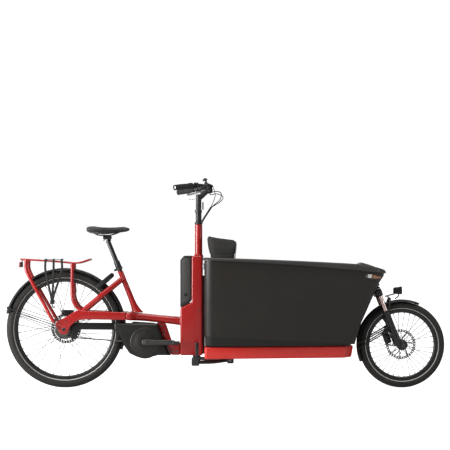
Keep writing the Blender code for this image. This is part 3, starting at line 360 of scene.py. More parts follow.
@dataclass(frozen=True)
class TyreRubber(Finish):
    """Tyre: a cut tread, ribbed walls and a pale reflecting stripe."""

    slot: ClassVar[Slot] = Slot.TYRE
    axle: tuple[float, float, float] = (0, 0, 0)
    radius: float = 0.35
    half: float = 0.03
    stripe: float = 0.31
    cuts: float = 84.0

    def mix(self, recipe: Recipe) -> bpy.types.Material:
        """Makes the rubber."""
        x, y, z = recipe.split(recipe.place(self.axle))
        reach = recipe.maths("SQRT", x * x + z * z)
        around = recipe.maths("ARCTAN2", z, x)
        out = abs(y)
        tread = 1.0 - out.ease(self.half * 0.66, self.half * 0.76)
        tread = tread * reach.ease(self.radius - self.half * 0.5, self.radius - self.half * 0.42)
        slant = recipe.maths("SINE", around * self.cuts + out * 420.0).ease(0.72, 0.9)
        shoulder = recipe.maths("SINE", around * (self.cuts / 2) - out * 300.0).ease(0.8, 0.92)
        cut = tread * recipe.maths("MAXIMUM", slant * out.ease(0.003, 0.005), shoulder)
        ribs = recipe.maths("SINE", reach * 2600.0) * (1.0 - tread) * 0.12
        wall = 1.0 - tread
        band = (1.0 - abs(reach - self.stripe).ease(0.0017, 0.0023)) * wall
        dirt = recipe.noise(46.0, detail=7.0, rough=0.65).ease(0.35, 0.8)
        base = recipe.blend(dirt * (0.35 + tread * 0.5), (0.0115, 0.0108, 0.0102), (0.036, 0.032, 0.028))
        base = recipe.blend(band, base, (0.4, 0.385, 0.36))
        height = 1.0 - cut + ribs - band * 0.08 + 0.1 * recipe.noise(900.0, detail=2.0)
        return recipe.done(base_color=base, roughness=0.74 + dirt * 0.14 - band * 0.34, specular_ior_level=0.4,
            normal=recipe.bump(height, 0.75, 0.0016))


@dataclass(frozen=True)
class GripRubber(Finish):
    """Soft rubber with a knurled surface."""

    slot: ClassVar[Slot] = Slot.RUBBER
    colour: Colour = (0.011, 0.0108, 0.0108)
    knurl: float = 260.0

    def mix(self, recipe: Recipe) -> bpy.types.Material:
        """Makes the rubber."""
        pads = recipe.cells(self.knurl, feature="DISTANCE_TO_EDGE").ease(0.03, 0.16)
        wear = recipe.noise(40.0, detail=5.0)
        base = recipe.blend(wear.ease(0.35, 0.75), self.colour, (0.024, 0.0235, 0.023))
        return recipe.done(base_color=base, roughness=0.7 + wear * 0.18,
            normal=recipe.bump(pads + 0.15 * wear, 0.35, 0.001))


@dataclass(frozen=True)
class BrushedMetal(Finish):
    """Bare metal brushed along one direction, or round an axle."""

    slot: ClassVar[Slot] = Slot.STEEL
    colour: Colour = (0.58, 0.57, 0.56)
    roughness: float = 0.26
    stretch: tuple[float, float, float] = (1.0, 30.0, 1.0)
    round_axle: tuple[float, float, float] | None = None

    def mix(self, recipe: Recipe) -> bpy.types.Material:
        """Makes the metal."""
        if self.round_axle is None:
            marks = recipe.noise(60.0, recipe.place(stretch=self.stretch), detail=5.0)
        else:
            x, _, z = recipe.split(recipe.place(self.round_axle))
            marks = recipe.streaks(recipe.maths("SQRT", x * x + z * z), 2400.0)
        tarnish = recipe.noise(55.0, detail=6.0, rough=0.6).ease(0.45, 0.8)
        base = recipe.blend(tarnish * 0.45, self.colour, tuple(c * 0.55 for c in self.colour))
        return recipe.done(base_color=base, metallic=1.0, roughness=self.roughness + marks * 0.14 + tarnish * 0.16,
            normal=recipe.bump(marks, 0.1, 0.0005))


@dataclass(frozen=True)
class Alloy(BrushedMetal):
    """Cast or forged aluminium, greyer than steel."""

    slot: ClassVar[Slot] = Slot.ALLOY
    colour: Colour = (0.42, 0.42, 0.43)
    roughness: float = 0.34


@dataclass(frozen=True)
class OiledChain(Finish):
    """Chain steel, dark with oil in patches."""

    slot: ClassVar[Slot] = Slot.STEEL

    def mix(self, recipe: Recipe) -> bpy.types.Material:
        """Makes the chain's steel."""
        oil = recipe.noise(210.0, detail=5.0).ease(0.35, 0.7)
        base = recipe.blend(oil, (0.24, 0.225, 0.21), (0.035, 0.031, 0.028))
        return recipe.done(base_color=base, metallic=0.9, roughness=0.28 + oil * 0.22,
            normal=recipe.bump(recipe.noise(700.0), 0.15, 0.0004))


@dataclass(frozen=True)
class Leatherette(Finish):
    """Pebbled saddle cover."""

    slot: ClassVar[Slot] = Slot.RUBBER
    colour: Colour = (0.013, 0.0124, 0.012)
    pebble: float = 480.0

    def mix(self, recipe: Recipe) -> bpy.types.Material:
        """Makes the cover."""
        pebble = recipe.cells(self.pebble)
        rub = recipe.noise(18.0, detail=5.0).ease(0.4, 0.8)
        base = recipe.blend(rub, self.colour, (0.024, 0.023, 0.022))
        return recipe.done(base_color=base, roughness=0.48 - rub * 0.1 + pebble * 0.12, sheen_weight=0.12,
            sheen_roughness=0.4, normal=recipe.bump(pebble + 0.5 * recipe.noise(90.0), 0.3, 0.0012))


@dataclass(frozen=True)
class Weave(Finish):
    """Plain-woven cover: threads over and under, with a little fuzz."""

    slot: ClassVar[Slot] = Slot.FABRIC
    colour: Colour = (0.012, 0.0112, 0.0102)
    thread: float = 0.0022
    along: tuple[int, int] = (0, 1)

    def mix(self, recipe: Recipe) -> bpy.types.Material:
        """Makes the cloth."""
        spread = recipe.split(recipe.place())
        pace = tau / (2 * self.thread)
        warp = recipe.maths("SINE", spread[self.along[0]] * pace)
        weft = recipe.maths("SINE", spread[self.along[1]] * pace)
        knot = warp * weft
        fuzz = recipe.noise(700.0, detail=4.0, rough=0.7)
        fade = recipe.noise(12.0, detail=5.0).ease(0.3, 0.8)
        light = tuple(c * 1.7 + 0.002 for c in self.colour)
        base = recipe.blend(knot.ease(-0.9, 0.9) * 0.55 + fade * 0.3, self.colour, light)
        return recipe.done(base_color=base, roughness=0.86 + fuzz * 0.08, sheen_weight=0.04, sheen_roughness=0.5,
            normal=recipe.bump(knot * 0.5 + fuzz * 0.5, 0.4, 0.0008))


@dataclass(frozen=True)
class Strapping(Weave):
    """Elastic webbing, ribbed across its length."""

    slot: ClassVar[Slot] = Slot.WEBBING
    colour: Colour = (0.008, 0.008, 0.0082)
    thread: float = 0.0016
    along: tuple[int, int] = (2, 0)


@dataclass(frozen=True)
class Lens(Finish):
    """Ribbed lens with a bright or coloured back."""

    slot: ClassVar[Slot] = Slot.PLASTIC
    colour: Colour = (0.72, 0.73, 0.74)
    rib: float = 0.003
    metallic: float = 0.35

    def mix(self, recipe: Recipe) -> bpy.types.Material:
        """Makes the lens."""
        _, y, z = recipe.split(recipe.place())
        pace = tau / self.rib
        prism = recipe.maths("SINE", y * pace) + recipe.maths("SINE", z * pace)
        base = recipe.blend(prism.ease(-1.6, 1.8), tuple(c * 0.62 for c in self.colour), self.colour)
        return recipe.done(base_color=base, metallic=self.metallic, roughness=0.08 + 0.1 * prism.ease(-2.0, 2.0),
            coat_weight=0.8, coat_roughness=0.03, normal=recipe.bump(prism, 0.35, 0.0006))


@dataclass(frozen=True)
class RedLens(Lens):
    """The tail lamp's lens."""

    slot: ClassVar[Slot] = Slot.RED_LENS
    colour: Colour = (0.45, 0.008, 0.008)
    metallic: float = 0.0


@dataclass(frozen=True)
class DarkGlass(Finish):
    """The display's window: black glass with a faint smear."""

    slot: ClassVar[Slot] = Slot.PLASTIC

    def mix(self, recipe: Recipe) -> bpy.types.Material:
        """Makes the glass."""
        smear = recipe.noise(80.0, detail=6.0).ease(0.4, 0.8)
        base = recipe.blend(smear, (0.01, 0.012, 0.015), (0.022, 0.026, 0.03))
        return recipe.done(base_color=base, roughness=0.07 + smear * 0.14, coat_weight=0.9, coat_roughness=0.03)


RED = GlossPaint()
# A brighter copy of the frame's red for the tray: painted light for the light the tray catches.
PLATFORM_RED_PAINTED_LIGHT = GlossPaint(colour=(0.62, 0.026, 0.018), dust=(0.52, 0.05, 0.036))
BLACK = SatinPaint()
GLOSS_BLACK = SatinPaint(colour=(0.0072, 0.007, 0.0072), roughness=0.22)
CRANK = SatinPaint(colour=(0.022, 0.0205, 0.0195), roughness=0.34)
TUB = Moulded(colour=(0.0125, 0.0098, 0.0078), roughness=0.4, grain=430.0)
TUB_DARK = Moulded(colour=(0.0062, 0.0058, 0.0054), roughness=0.56, grain=520.0)
# The lip is the tub's plastic made lighter: painted light for the light its upward-facing roll catches.
LIP_PAINTED_LIGHT = Moulded(colour=(0.033, 0.0305, 0.0285), roughness=0.4, grain=560.0)
COVER = Moulded(colour=(0.0052, 0.0046, 0.0041), roughness=0.42, grain=760.0)
CASING = Moulded(colour=(0.0165, 0.015, 0.0136), roughness=0.5, grain=820.0)
# The turned disc is the cover's plastic made lighter: painted sheen for the light on its concentric steps.
DISC_PAINTED_SHEEN = Moulded(colour=(0.0125, 0.011, 0.01), roughness=0.34, grain=760.0)
FITTING = Moulded(colour=(0.008, 0.0078, 0.0078), roughness=0.45, grain=900.0)
STEEL = BrushedMetal()
SPOKE = BrushedMetal(colour=(0.1, 0.097, 0.093), roughness=0.46)
BOLT = BrushedMetal(colour=(0.13, 0.13, 0.135), roughness=0.34)
ALLOY = Alloy()
RUBBER = GripRubber()
HOSE = GripRubber(colour=(0.0075, 0.0075, 0.0078), knurl=900.0)


# ---------------------------------------------------------------- shapes
def along(direction: Vector) -> Matrix:
    """A turn whose Z axis is this direction."""
    return Vector(direction).normalized().to_track_quat("Z", "Y").to_matrix().to_4x4()


def linked(name: str, data: bpy.types.ID) -> bpy.types.Object:
    """A new object in the scene that shows this data."""
    made = bpy.data.objects.new(name, data)
    bpy.context.scene.collection.objects.link(made)
    return made


def tilted(angle: float) -> Matrix:
    """A turn about Y, in degrees."""
    return Matrix.Rotation(radians(angle), 4, "Y")


def toward(angle: float) -> Vector:
    """The direction in the bicycle's own plane at this angle above +X."""
    return Vector((cos(angle), 0, sin(angle)))


def ringed(count: int) -> list[float]:
    """This many angles, evenly round a circle."""
    return [tau * k / count for k in range(count)]


def mm(*points: Sequence[float]) -> list[tuple[float, ...]]:
    """Points given in millimetres, in metres."""
    return [tuple(round(value / 1000, 7) for value in point) for point in points]


def cleaned(bm: BMesh, verts: Iterable[BMVert] | None = None, gap: float = WELD) -> None:
    """Merges doubles among these vertices, or among all of them."""
    bmesh.ops.remove_doubles(bm, verts=bm.verts if verts is None else verts, dist=gap)


def face_out(bm: BMesh, faces: Iterable[BMFace] | None = None) -> None:
    """Turns the normals of these faces out, or those of all faces."""
    bmesh.ops.recalc_face_normals(bm, faces=bm.faces if faces is None else faces)


def rounded(bm: BMesh, edges: Iterable[BMEdge], width: float, segments: int, clamp: bool = False) -> None:
    """Rounds these edges, held back where they would cross if clamp is set."""
    bmesh.ops.bevel(bm, geom=edges, offset=width, offset_type="OFFSET", affect="EDGES", segments=segments,
        profile=0.5, material=-1, clamp_overlap=clamp)


def finished(bm: BMesh, name: str, body: str, finish: Finish, replaces: Iterable[str] = (), smooth: float = 35.0,
        tidy: bool = True) -> bpy.types.Object:
    """Turns a bmesh into a piece that rides on a body.

    Args:
        bm: The shape, in place. It is freed.
        name: The piece's name.
        body: The body it rides on.
        finish: What it is finished in.
        replaces: The CAD nodes it stands for.
        smooth: Edges sharper than this many degrees stay sharp.
        tidy: Whether doubles are merged and normals turned out.

    Returns:
        The piece.
    """
    if tidy:
        cleaned(bm)
        face_out(bm)
    data = bpy.data.meshes.new(name)
    bm.to_mesh(data)
    bm.free()
    data.materials.append(finish.material())
    data.shade_smooth()
    data.set_sharp_from_angle(angle=radians(smooth))
    piece = linked(name, data)
    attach(piece, body)
    if replaces:
        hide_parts(*replaces)
    log.info("%s on %s, %d faces", name, body, len(data.polygons))
    return piece


def spun(bm: BMesh, profile: Outline, centre: Vector, axis: Vector, steps: int = 48, closed: bool = False,
        sweep: float = tau, start: float = 0.0) -> None:
    """Spins a profile of (radius, height) points round an axis.

    Args:
        bm: Where the shape goes.
        profile: The points, with heights along the axis.
        centre: A point on the axis, at height 0.
        axis: The axis.
        steps: Steps in the spin.
        closed: Whether the profile is a closed loop.
        sweep: The angle turned through.
        start: The angle at which the spin starts.
    """
    turn = Matrix.Translation(centre) @ along(axis) @ Matrix.Rotation(start, 4, "Z")
    verts = [bm.verts.new(turn @ Vector((radius, 0.0, height))) for radius, height in profile]
    edges = [bm.edges.new(pair) for pair in zip(verts, verts[1:])]
    if closed:
        edges.append(bm.edges.new((verts[-1], verts[0])))
    bmesh.ops.spin(bm, geom=verts + edges, cent=centre, axis=turn.to_3x3() @ UPWARD, angle=sweep, steps=steps,
        use_merge=abs(sweep - tau) < 1e-6)


def cone(bm: BMesh, start: Vector, end: Vector, radius: float, end_radius: float | None = None,
        sides: int = 32) -> list[BMVert]:
    """Adds a rod or a cone between two points and returns its vertices."""
    start, end = Vector(start), Vector(end)
    made = bmesh.ops.create_cone(bm, cap_ends=True, segments=sides, radius1=radius,
        radius2=radius if end_radius is None else end_radius, depth=(end - start).length,
        matrix=Matrix.Translation((start + end) / 2) @ along(end - start))
    return made["verts"]


def bevelled(bm: BMesh, width: float, segments: int = 3, angle: float = 30.0, verts: Sequence[BMVert] | None = None,
        clamp: bool = True) -> None:
    """Rounds the edges that turn by more than an angle.

    Args:
        bm: The shape.
        width: The rounding's width.
        segments: Its segments.
        angle: The least turn, in degrees.
        verts: Only edges between these, or None for all.
        clamp: Whether the width is held back where edges would cross.
    """
    chosen = set(verts) if verts is not None else None
    edges = [e for e in bm.edges if e.is_manifold and e.calc_face_angle(0.0) > radians(angle)
        and (chosen is None or (e.verts[0] in chosen and e.verts[1] in chosen))]
    rounded(bm, edges, width, segments, clamp)


def box(bm: BMesh, centre: Sequence[float], size: Sequence[float], rounding: float = 0.0, turn: Matrix | None = None,
        segments: int = 3) -> list[BMVert]:
    """Adds a box with rounded edges.

    Args:
        bm: Where it goes.
        centre: Its centre.
        size: Its three sizes.
        rounding: The edges' rounding.
        turn: A turn about its centre.
        segments: Segments in the rounding.

    Returns:
        The box's vertices before rounding, or its corners where it has none.
    """
    place = Matrix.Translation(centre) @ (turn or Matrix.Identity(4)) @ Matrix.Diagonal((*size, 1.0))
    made = bmesh.ops.create_cube(bm, size=1.0, matrix=place)
    if rounding:
        rounded(bm, list({e for v in made["verts"] for e in v.link_edges}), rounding, segments)
    return made["verts"]


def flow(points: Sequence[Sequence[float]], count: int = 6) -> list[Vector]:
    """Points along a smooth curve through these points."""
    knots = [Vector(p) for p in points]
    knots = [2 * knots[0] - knots[1], *knots, 2 * knots[-1] - knots[-2]]
    path = []
    for i in range(1, len(knots) - 2):
        a, b, c, d = knots[i - 1:i + 3]
        for k in range(count):
            t = k / count
            square, cube = 2 * a - 5 * b + 4 * c - d, 3 * b - a - 3 * c + d
            path.append(0.5 * ((2 * b) + (c - a) * t + square * t * t + cube * t * t * t))
    path.append(knots[-2])
    return path


def rod(bm: BMesh, path: Sequence[Vector], radius: "float | Sequence[float]", sides: int = 20,
        flat: "float | Sequence[float]" = 1.0, upright: Vector | None = None) -> None:
    """Sweeps a round or oval section along a path, with closed ends.

    Args:
        bm: Where it goes.
        path: The points it follows.
        radius: One radius, or one at each point.
        sides: Sides of the section.
        flat: The section's height over its width, or that at each point.
        upright: The direction the section's height keeps to, or None for the path's own.
    """
    points = [Vector(p) for p in path]
    radii = [radius] * len(points) if isinstance(radius, (int, float)) else list(radius)
    flats = [flat] * len(points) if isinstance(flat, (int, float)) else list(flat)
    places, up = [], upright
    for i, point in enumerate(points):
        ahead = (points[min(i + 1, len(points) - 1)] - points[max(i - 1, 0)]).normalized()
        if up is None:
            up = ahead.orthogonal().normalized()
        side = ahead.cross(up if upright is None else upright).normalized()
        rise = side.cross(ahead).normalized()
        up = rise
        basis = Matrix((side, rise, ahead)).transposed().to_4x4()
        size = Matrix.Diagonal((radii[i], radii[i] * flats[i], radii[i], 1.0))
        places.append(Matrix.Translation(point) @ basis @ size)
    ring = bmesh.ops.create_circle(bm, cap_ends=True, segments=sides, radius=1.0, matrix=places[0])["verts"]
    edges = list({e for v in ring for e in v.link_edges})
    for before, after in zip(places, places[1:]):
        made = bmesh.ops.extrude_edge_only(bm, edges=edges)["geom"]
        ring = [g for g in made if isinstance(g, BMVert)]
        edges = [g for g in made if isinstance(g, BMEdge) and all(v in ring for v in g.verts)]
        bmesh.ops.transform(bm, matrix=after @ before.inverted(), verts=ring)
    bmesh.ops.contextual_create(bm, geom=edges)


def bead(bm: BMesh, path: Sequence[Vector], radius: float = 0.0024) -> None:
    """A bead of weld along a path, with a ripple in its thickness."""
    rod(bm, path, [radius + 0.0005 * (k % 2) for k in range(len(path))], 8)


def power(value: float, exponent: float) -> float:
    """The value's size raised to a power, with the value's sign."""
    return copysign(abs(value) ** exponent, value)


def oval(x: float, centre: tuple[float, float], half: tuple[float, float],
        exponents: tuple[float, float]) -> list[Vector]:
    """An outline across X, from a rounded box to an ellipse by its two exponents."""
    return [Vector((x, centre[0] + half[0] * power(cos(a), exponents[0]),
        centre[1] + half[1] * power(sin(a), exponents[1]))) for a in ringed(28)]


def skin(bm: BMesh, outlines: Sequence[Sequence[Vector]], caps: bool = True, loop: bool = False) -> None:
    """Extrudes one closed outline through the others.

    Args:
        bm: Where it goes.
        outlines: Closed outlines of equally many points.
        caps: Whether the two ends are closed.
        loop: Whether the last outline joins the first.
    """
    ring = [bm.verts.new(p) for p in outlines[0]]
    edges = [bm.edges.new((a, b)) for a, b in zip(ring, ring[1:] + ring[:1])]
    first = list(edges)
    if caps and not loop:
        bm.faces.new(ring)
    for outline in outlines[1:]:
        made = bmesh.ops.extrude_edge_only(bm, edges=edges)["geom"]
        new = {g for g in made if isinstance(g, BMVert)}
        ring = [next(e.other_vert(v) for e in v.link_edges if e.other_vert(v) in new) for v in ring]
        for vert, point in zip(ring, outline):
            vert.co = point
        edges = [g for g in made if isinstance(g, BMEdge) and all(v in new for v in g.verts)]
    if loop:
        bmesh.ops.bridge_loops(bm, edges=first + edges)
    elif caps:
        bmesh.ops.contextual_create(bm, geom=edges)


def slab(bm: BMesh, outline: Outline, middle: float, thickness: float, rounding: float, segments: int = 3) -> None:
    """A flat outline of (x, z) points, extruded along Y and rounded.

    Args:
        bm: Where it goes.
        outline: The outline.
        middle: The middle plane's Y.
        thickness: The whole thickness.
        rounding: The edges' rounding.
        segments: Segments in the rounding.
    """
    before = set(bm.verts)
    face = bm.faces.new([bm.verts.new((x, middle - thickness / 2, z)) for x, z in outline])
    made = bmesh.ops.extrude_face_region(bm, geom=[face])["geom"]
    bmesh.ops.translate(bm, vec=(0, thickness, 0), verts=[g for g in made if isinstance(g, BMVert)])
    fresh = [v for v in bm.verts if v not in before]
    face_out(bm, list({f for v in fresh for f in v.link_faces}))
    if rounding:
        rims = [e for e in {e for v in fresh for e in v.link_edges} if e.calc_face_angle(0.0) > radians(60)
            or abs(e.verts[0].co.y - e.verts[1].co.y) < 1e-7]
        rounded(bm, rims, rounding, segments, True)


def arc(centre: tuple[float, float], radius: float, start: float, end: float, count: int) -> Outline:
    """Points on an arc, with angles in degrees."""
    turns = [radians(start + (end - start) * i / count) for i in range(count + 1)]
    return [(centre[0] + radius * cos(a), centre[1] + radius * sin(a)) for a in turns]


def refined(node: str, width: float = 0.0015, angle: float = 30.0, segments: int = 3, clamp: bool = True,
        flat: float = 0.6) -> BMesh:
    """A copy of a CAD node, merged, with its flat faces whole and its edges rounded.

    Args:
        node: The node.
        width: The rounding's width, or 0 for none.
        angle: The least turn that is rounded, in degrees.
        segments: Segments in the rounding.
        clamp: Whether the width is held back where edges would cross.
        flat: Faces that turn by less than this many degrees become one.

    Returns:
        The copy.
    """
    bm = bmesh.new()
    bm.from_mesh(frame["nodes"][node].data)
    cleaned(bm, gap=COARSE_WELD)
    bmesh.ops.dissolve_limit(bm, angle_limit=radians(flat), verts=bm.verts, edges=bm.edges)
    face_out(bm)
    if width:
        bevelled(bm, width, segments, angle, clamp=clamp)
    return bm


def bolt(bm: BMesh, at: Sequence[float], axis: Sequence[float], radius: float = 0.004, height: float = 0.004) -> None:
    """Adds a domed socket-head bolt that stands on a surface."""
    spun(bm, [(0.0, height * 0.45), (radius * 0.42, height * 0.45), (radius * 0.5, height),
        (radius * 0.86, height * 0.94), (radius, height * 0.62), (radius, 0.0), (0.0, 0.0)],
        Vector(at), Vector(axis), 14)


def on_fork(up: float, ahead: float = 0.0, side: float = 0.0) -> Vector:
    """A point by its distance up the fork's steering axis from the crown, and ahead of it."""
    return CROWN + UP_FORK * up + AHEAD_FORK * ahead + ACROSS * side


def sided(point: Sequence[float], side: Side) -> Vector:
    """A left-hand point, mirrored for the right."""
    return Vector((point[0], side * point[1], point[2]))


def bent(bm: BMesh, points: Sequence[Sequence[float]], side: Side, count: int, radius: "float | Sequence[float]",
        sides: int = 20, flat: "float | Sequence[float]" = 1.0, upright: Vector | None = None) -> None:
    """A rod along a smooth curve through left-hand points, mirrored for the right.

    Args:
        bm: Where it goes.
        points: The curve's points, as on the left.
        side: The side it is on.
        count: Steps between two points.
        radius: One radius, or one at each step.
        sides: Sides of the section.
        flat: The section's height over its width.
        upright: The direction the section's height keeps to.
    """
    rod(bm, flow([sided(p, side) for p in points], count), radius, sides, flat, upright)


# ---------------------------------------------------------------- wheels
@dataclass
class Wheel:
    """A wheel: tyre, rim, crossed spokes, hub and slotted brake disc."""

    name: str
    axle: Vector
    tyre_radius: float
    section: float
    rim_radius: float
    hub: Outline
    flange_radius: float
    flange: float
    disc_side: float
    stripe: float
    disc_shade: float = 0.4
    spokes: int = 36

    @property
    def body(self) -> str:
        """The body the wheel turns with."""
        return f"{self.name}_wheel"

    def build(self) -> None:
        """Builds all of the wheel's pieces."""
        self.tyre()
        self.rim()
        self.lacing()
        self.hub_shell()
        self.disc()

    def tyre(self) -> None:
        """A round tyre with three shallow grooves in its tread."""
        half = self.section / 2
        middle = self.tyre_radius - half
        bead = self.rim_radius + 0.021
        profile = [(bead, 0.011)]
        for k in range(62):
            turn = radians(-124 + 4 * k)
            depth = 0.0013 if any(abs(degrees(turn) - g) < 2.2 for g in (-24.0, 0.0, 24.0)) else 0.0
            profile.append((middle + (half - depth) * cos(turn), -(half - depth) * sin(turn)))
        profile.append((bead, -0.011))
        bm = bmesh.new()
        spun(bm, profile, self.axle, ACROSS, 132, closed=True)
        finish = TyreRubber(axle=tuple(self.axle), radius=self.tyre_radius, half=half, stripe=self.stripe,
            cuts=round(self.tyre_radius * 250))
        finished(bm, f"{self.name}_tyre_cut", self.body, finish, [f"{self.name}_tyre"], 50)

    def rim(self) -> None:
        """A box-section rim with hooked edges."""
        bead, low = self.rim_radius + 0.021, self.rim_radius
        profile = [(bead + 0.0015, 0.0118), (bead + 0.0015, 0.0136), (bead - 0.004, 0.0138), (low + 0.008, 0.0128),
            (low + 0.002, 0.0098), (low, 0.006), (low, -0.006), (low + 0.002, -0.0098), (low + 0.008, -0.0128),
            (bead - 0.004, -0.0138), (bead + 0.0015, -0.0136), (bead + 0.0015, -0.0118), (bead - 0.004, -0.01),
            (bead - 0.004, 0.01)]
        bm = bmesh.new()
        spun(bm, profile, self.axle, ACROSS, 120, closed=True)
        valve = self.axle + toward(2.2) * (low + 0.001)
        cone(bm, valve, valve.lerp(self.axle, 0.13), 0.003, 0.0026, 10)
        finished(bm, f"{self.name}_rim_hoop", self.body, GLOSS_BLACK, [f"{self.name}_rim"], 40)

    def lacing(self) -> None:
        """Spokes, crossed in pairs, with their nipples."""
        bm = bmesh.new()
        for index in range(self.spokes):
            side = 1 if index % 2 else -1
            angle = tau * (index + 0.5) / self.spokes
            lean = radians(28.0) * (1 if index % 4 < 2 else -1)
            inner = self.axle + toward(angle + lean) * self.flange_radius
            inner.y = side * self.flange
            outer = self.axle + toward(angle) * (self.rim_radius + 0.002)
            outer.y = side * 0.003
            cone(bm, inner, outer, 0.0015, sides=6)
            cone(bm, outer.lerp(inner, 0.07), outer, 0.002, 0.0026, 8)
            cone(bm, inner - ACROSS * 0.003, inner + ACROSS * 0.003, 0.0024, sides=8)
        finished(bm, f"{self.name}_spoke_lacing", self.body, SPOKE, smooth=60)

    def hub_shell(self) -> None:
        """The hub, spun from its outline, with locknuts on its axle."""
        bm = bmesh.new()
        spun(bm, self.hub, self.axle, ACROSS, 56)
        finished(bm, f"{self.name}_hub_shell", self.body, GLOSS_BLACK, [f"{self.name}_hub"], 28)
        bm = bmesh.new()
        reach = max(height for _, height in self.hub)
        for side in Side:
            end = self.axle + ACROSS * (side * reach)
            nut = cone(bm, end - ACROSS * (side * 0.0072), end - ACROSS * (side * 0.0004), 0.0088, sides=6)
            bevelled(bm, 0.0008, 2, verts=nut)
            cone(bm, end - ACROSS * (side * 0.0086), end - ACROSS * (side * 0.007), 0.0112, sides=28)
        finished(bm, f"{self.name}_axle_nuts", self.body, BOLT, smooth=30)

    def disc(self) -> None:
        """A brake disc: slotted braking band, curved arms and a bolted carrier."""
        bm = bmesh.new()
        centre = self.axle + ACROSS * (self.disc_side - 0.0009)
        spun(bm, mm((74, 0), (77.5, 0), (86.5, 0), (90, 0)), centre, ACROSS, 96)
        cleaned(bm, gap=RING_WELD)
        slots = [f for f in bm.faces if 0.078 < (f.calc_center_median() - centre).length < 0.0862
            and round(atan2((f.calc_center_median() - centre).z,
            (f.calc_center_median() - centre).x) / tau * 96 - 0.5) % 3 == 0]
        bmesh.ops.inset_individual(bm, faces=slots, thickness=0.0011, depth=0.0)
        bmesh.ops.delete(bm, geom=slots, context="FACES")
        for k in range(6):
            angle = tau * k / 6
            arm = [Vector((cos(angle + 0.42 * (1 - t)), 0, sin(angle + 0.42 * (1 - t)))) * (0.02 + 0.056 * t)
                for t in (0.0, 0.25, 0.5, 0.75, 1.0)]
            for a, b in zip(arm, arm[1:]):
                wide = (b - a).normalized().cross(ACROSS) * 0.0036
                bm.faces.new([bm.verts.new(centre + p) for p in (a + wide, b + wide, b - wide, a - wide)])
        spun(bm, mm((16.5, 0), (26.5, 0)), centre, ACROSS, 36)
        face_out(bm)
        bmesh.ops.solidify(bm, geom=bm.faces, thickness=0.0018)
        steel = BrushedMetal(colour=(self.disc_shade,) * 3, round_axle=tuple(self.axle), roughness=0.26)
        finished(bm, f"{self.name}_disc_band", self.body, steel, [f"{self.name}_rotor"], 30)
        bm = bmesh.new()
        for k in range(6):
            angle = tau * (k + 0.5) / 6
            bolt(bm, centre + toward(angle) * 0.022 + ACROSS * 0.0018, ACROSS, 0.003, 0.0022)
        finished(bm, f"{self.name}_disc_bolts", self.body, BOLT)


REAR_HUB = mm((0, 97.9), (6.2, 97.9), (6.2, 60), (12.5, 60), (12.5, 53), (20, 52), (30, 47.8), (30, 40), (50, 38.5),
    (57, 35), (60, 32), (60, 27.5), (55.5, 25.5), (54, 18), (54.8, 12), (53, 10), (53, -10), (54.8, -12), (54, -18),
    (55.5, -25.5), (60, -27.5), (60, -32), (56, -35), (48, -38.5), (30, -40), (28, -47), (20, -50), (18, -56),
    (12.5, -57), (12.5, -62), (6.2, -62), (6.2, -97.9), (0, -97.9))
FRONT_HUB = mm((0, 89.9), (6.2, 89.9), (6.2, 52.5), (11, 52), (12, 42), (16.5, 40), (16.5, 28), (29, 26.2), (31, 25),
    (31, 21.5), (27, 19.5), (16, 15), (14, 8), (14, -8), (16, -15), (27, -19.5), (31, -21.5), (33, -25), (33, -30),
    (29, -33), (18, -35), (16.5, -42), (11, -44), (11, -52), (6.2, -52.5), (6.2, -89.9), (0, -89.9))


@dataclass
class Mudguard:
    """A curved guard with rolled edges, its wires and their clips."""

    name: str
    body: str
    axle: Vector
    radius: float
    half_width: float
    start: float
    end: float
    wires: Sequence[Sequence[Sequence[float]]]
    clips: Sequence[Sequence[float]]
    pointed: float = 0.0
    wire_radius: float = 0.002

    def build(self) -> None:
        """Builds the guard, its wires and clips."""
        w = self.half_width
        profile = [(self.radius - 0.0125, -w), (self.radius - 0.0105, -w * 0.97), (self.radius - 0.006, -w * 0.82),
            (self.radius - 0.0028, -w * 0.58), (self.radius - 0.0008, -w * 0.3), (self.radius, 0.0)]
        profile += [(radius, -side) for radius, side in reversed(profile[:-1])]
        bm = bmesh.new()
        turn = radians(self.end - self.start)
        place = Matrix.Translation(self.axle) @ Matrix.Rotation(-radians(self.start), 4, "Y")
        verts = [bm.verts.new(place @ Vector((radius, side, 0.0))) for radius, side in profile]
        edges = [bm.edges.new(pair) for pair in zip(verts, verts[1:])]
        bmesh.ops.spin(bm, geom=verts + edges, cent=self.axle, axis=-ACROSS, angle=turn, steps=72)
        for v in bm.verts:
            arm = v.co - self.axle
            angle = degrees(atan2(arm.z, arm.x)) % 360
            first = angle - self.start % 360 if self.start >= 0 else (angle + 360 - self.start % 360) % 360
            last = (self.end - self.start) - first
            for gap, reach in ((abs(first), 8.0 + self.pointed), (abs(last), 5.0)):
                if gap < reach:
                    narrow = sqrt(max(0.0, 1.0 - (1.0 - gap / reach) ** 2))
                    v.co.y *= 0.3 + 0.7 * narrow if self.pointed and reach > 8.0 else 0.72 + 0.28 * narrow
        face_out(bm)
        guard = finished(bm, f"{self.name}_strip", self.body, FITTING, [self.name], 50, tidy=False)
        wall = guard.modifiers.new("wall", "SOLIDIFY")
        wall.thickness, wall.offset = 0.0026, 0.0
        bm = bmesh.new()
        for side in Side:
            for wire in self.wires:
                bent(bm, wire, side, 5, self.wire_radius, 12)
        finished(bm, f"{self.name}_wires", self.body, BLACK)
        bm = bmesh.new()
        for side in Side:
            for x, y, z, turn_y in self.clips:
                box(bm, (x, side * y, z), (0.026, 0.01, 0.016), 0.0025, tilted(turn_y))
        finished(bm, f"{self.name}_clips", self.body, FITTING)


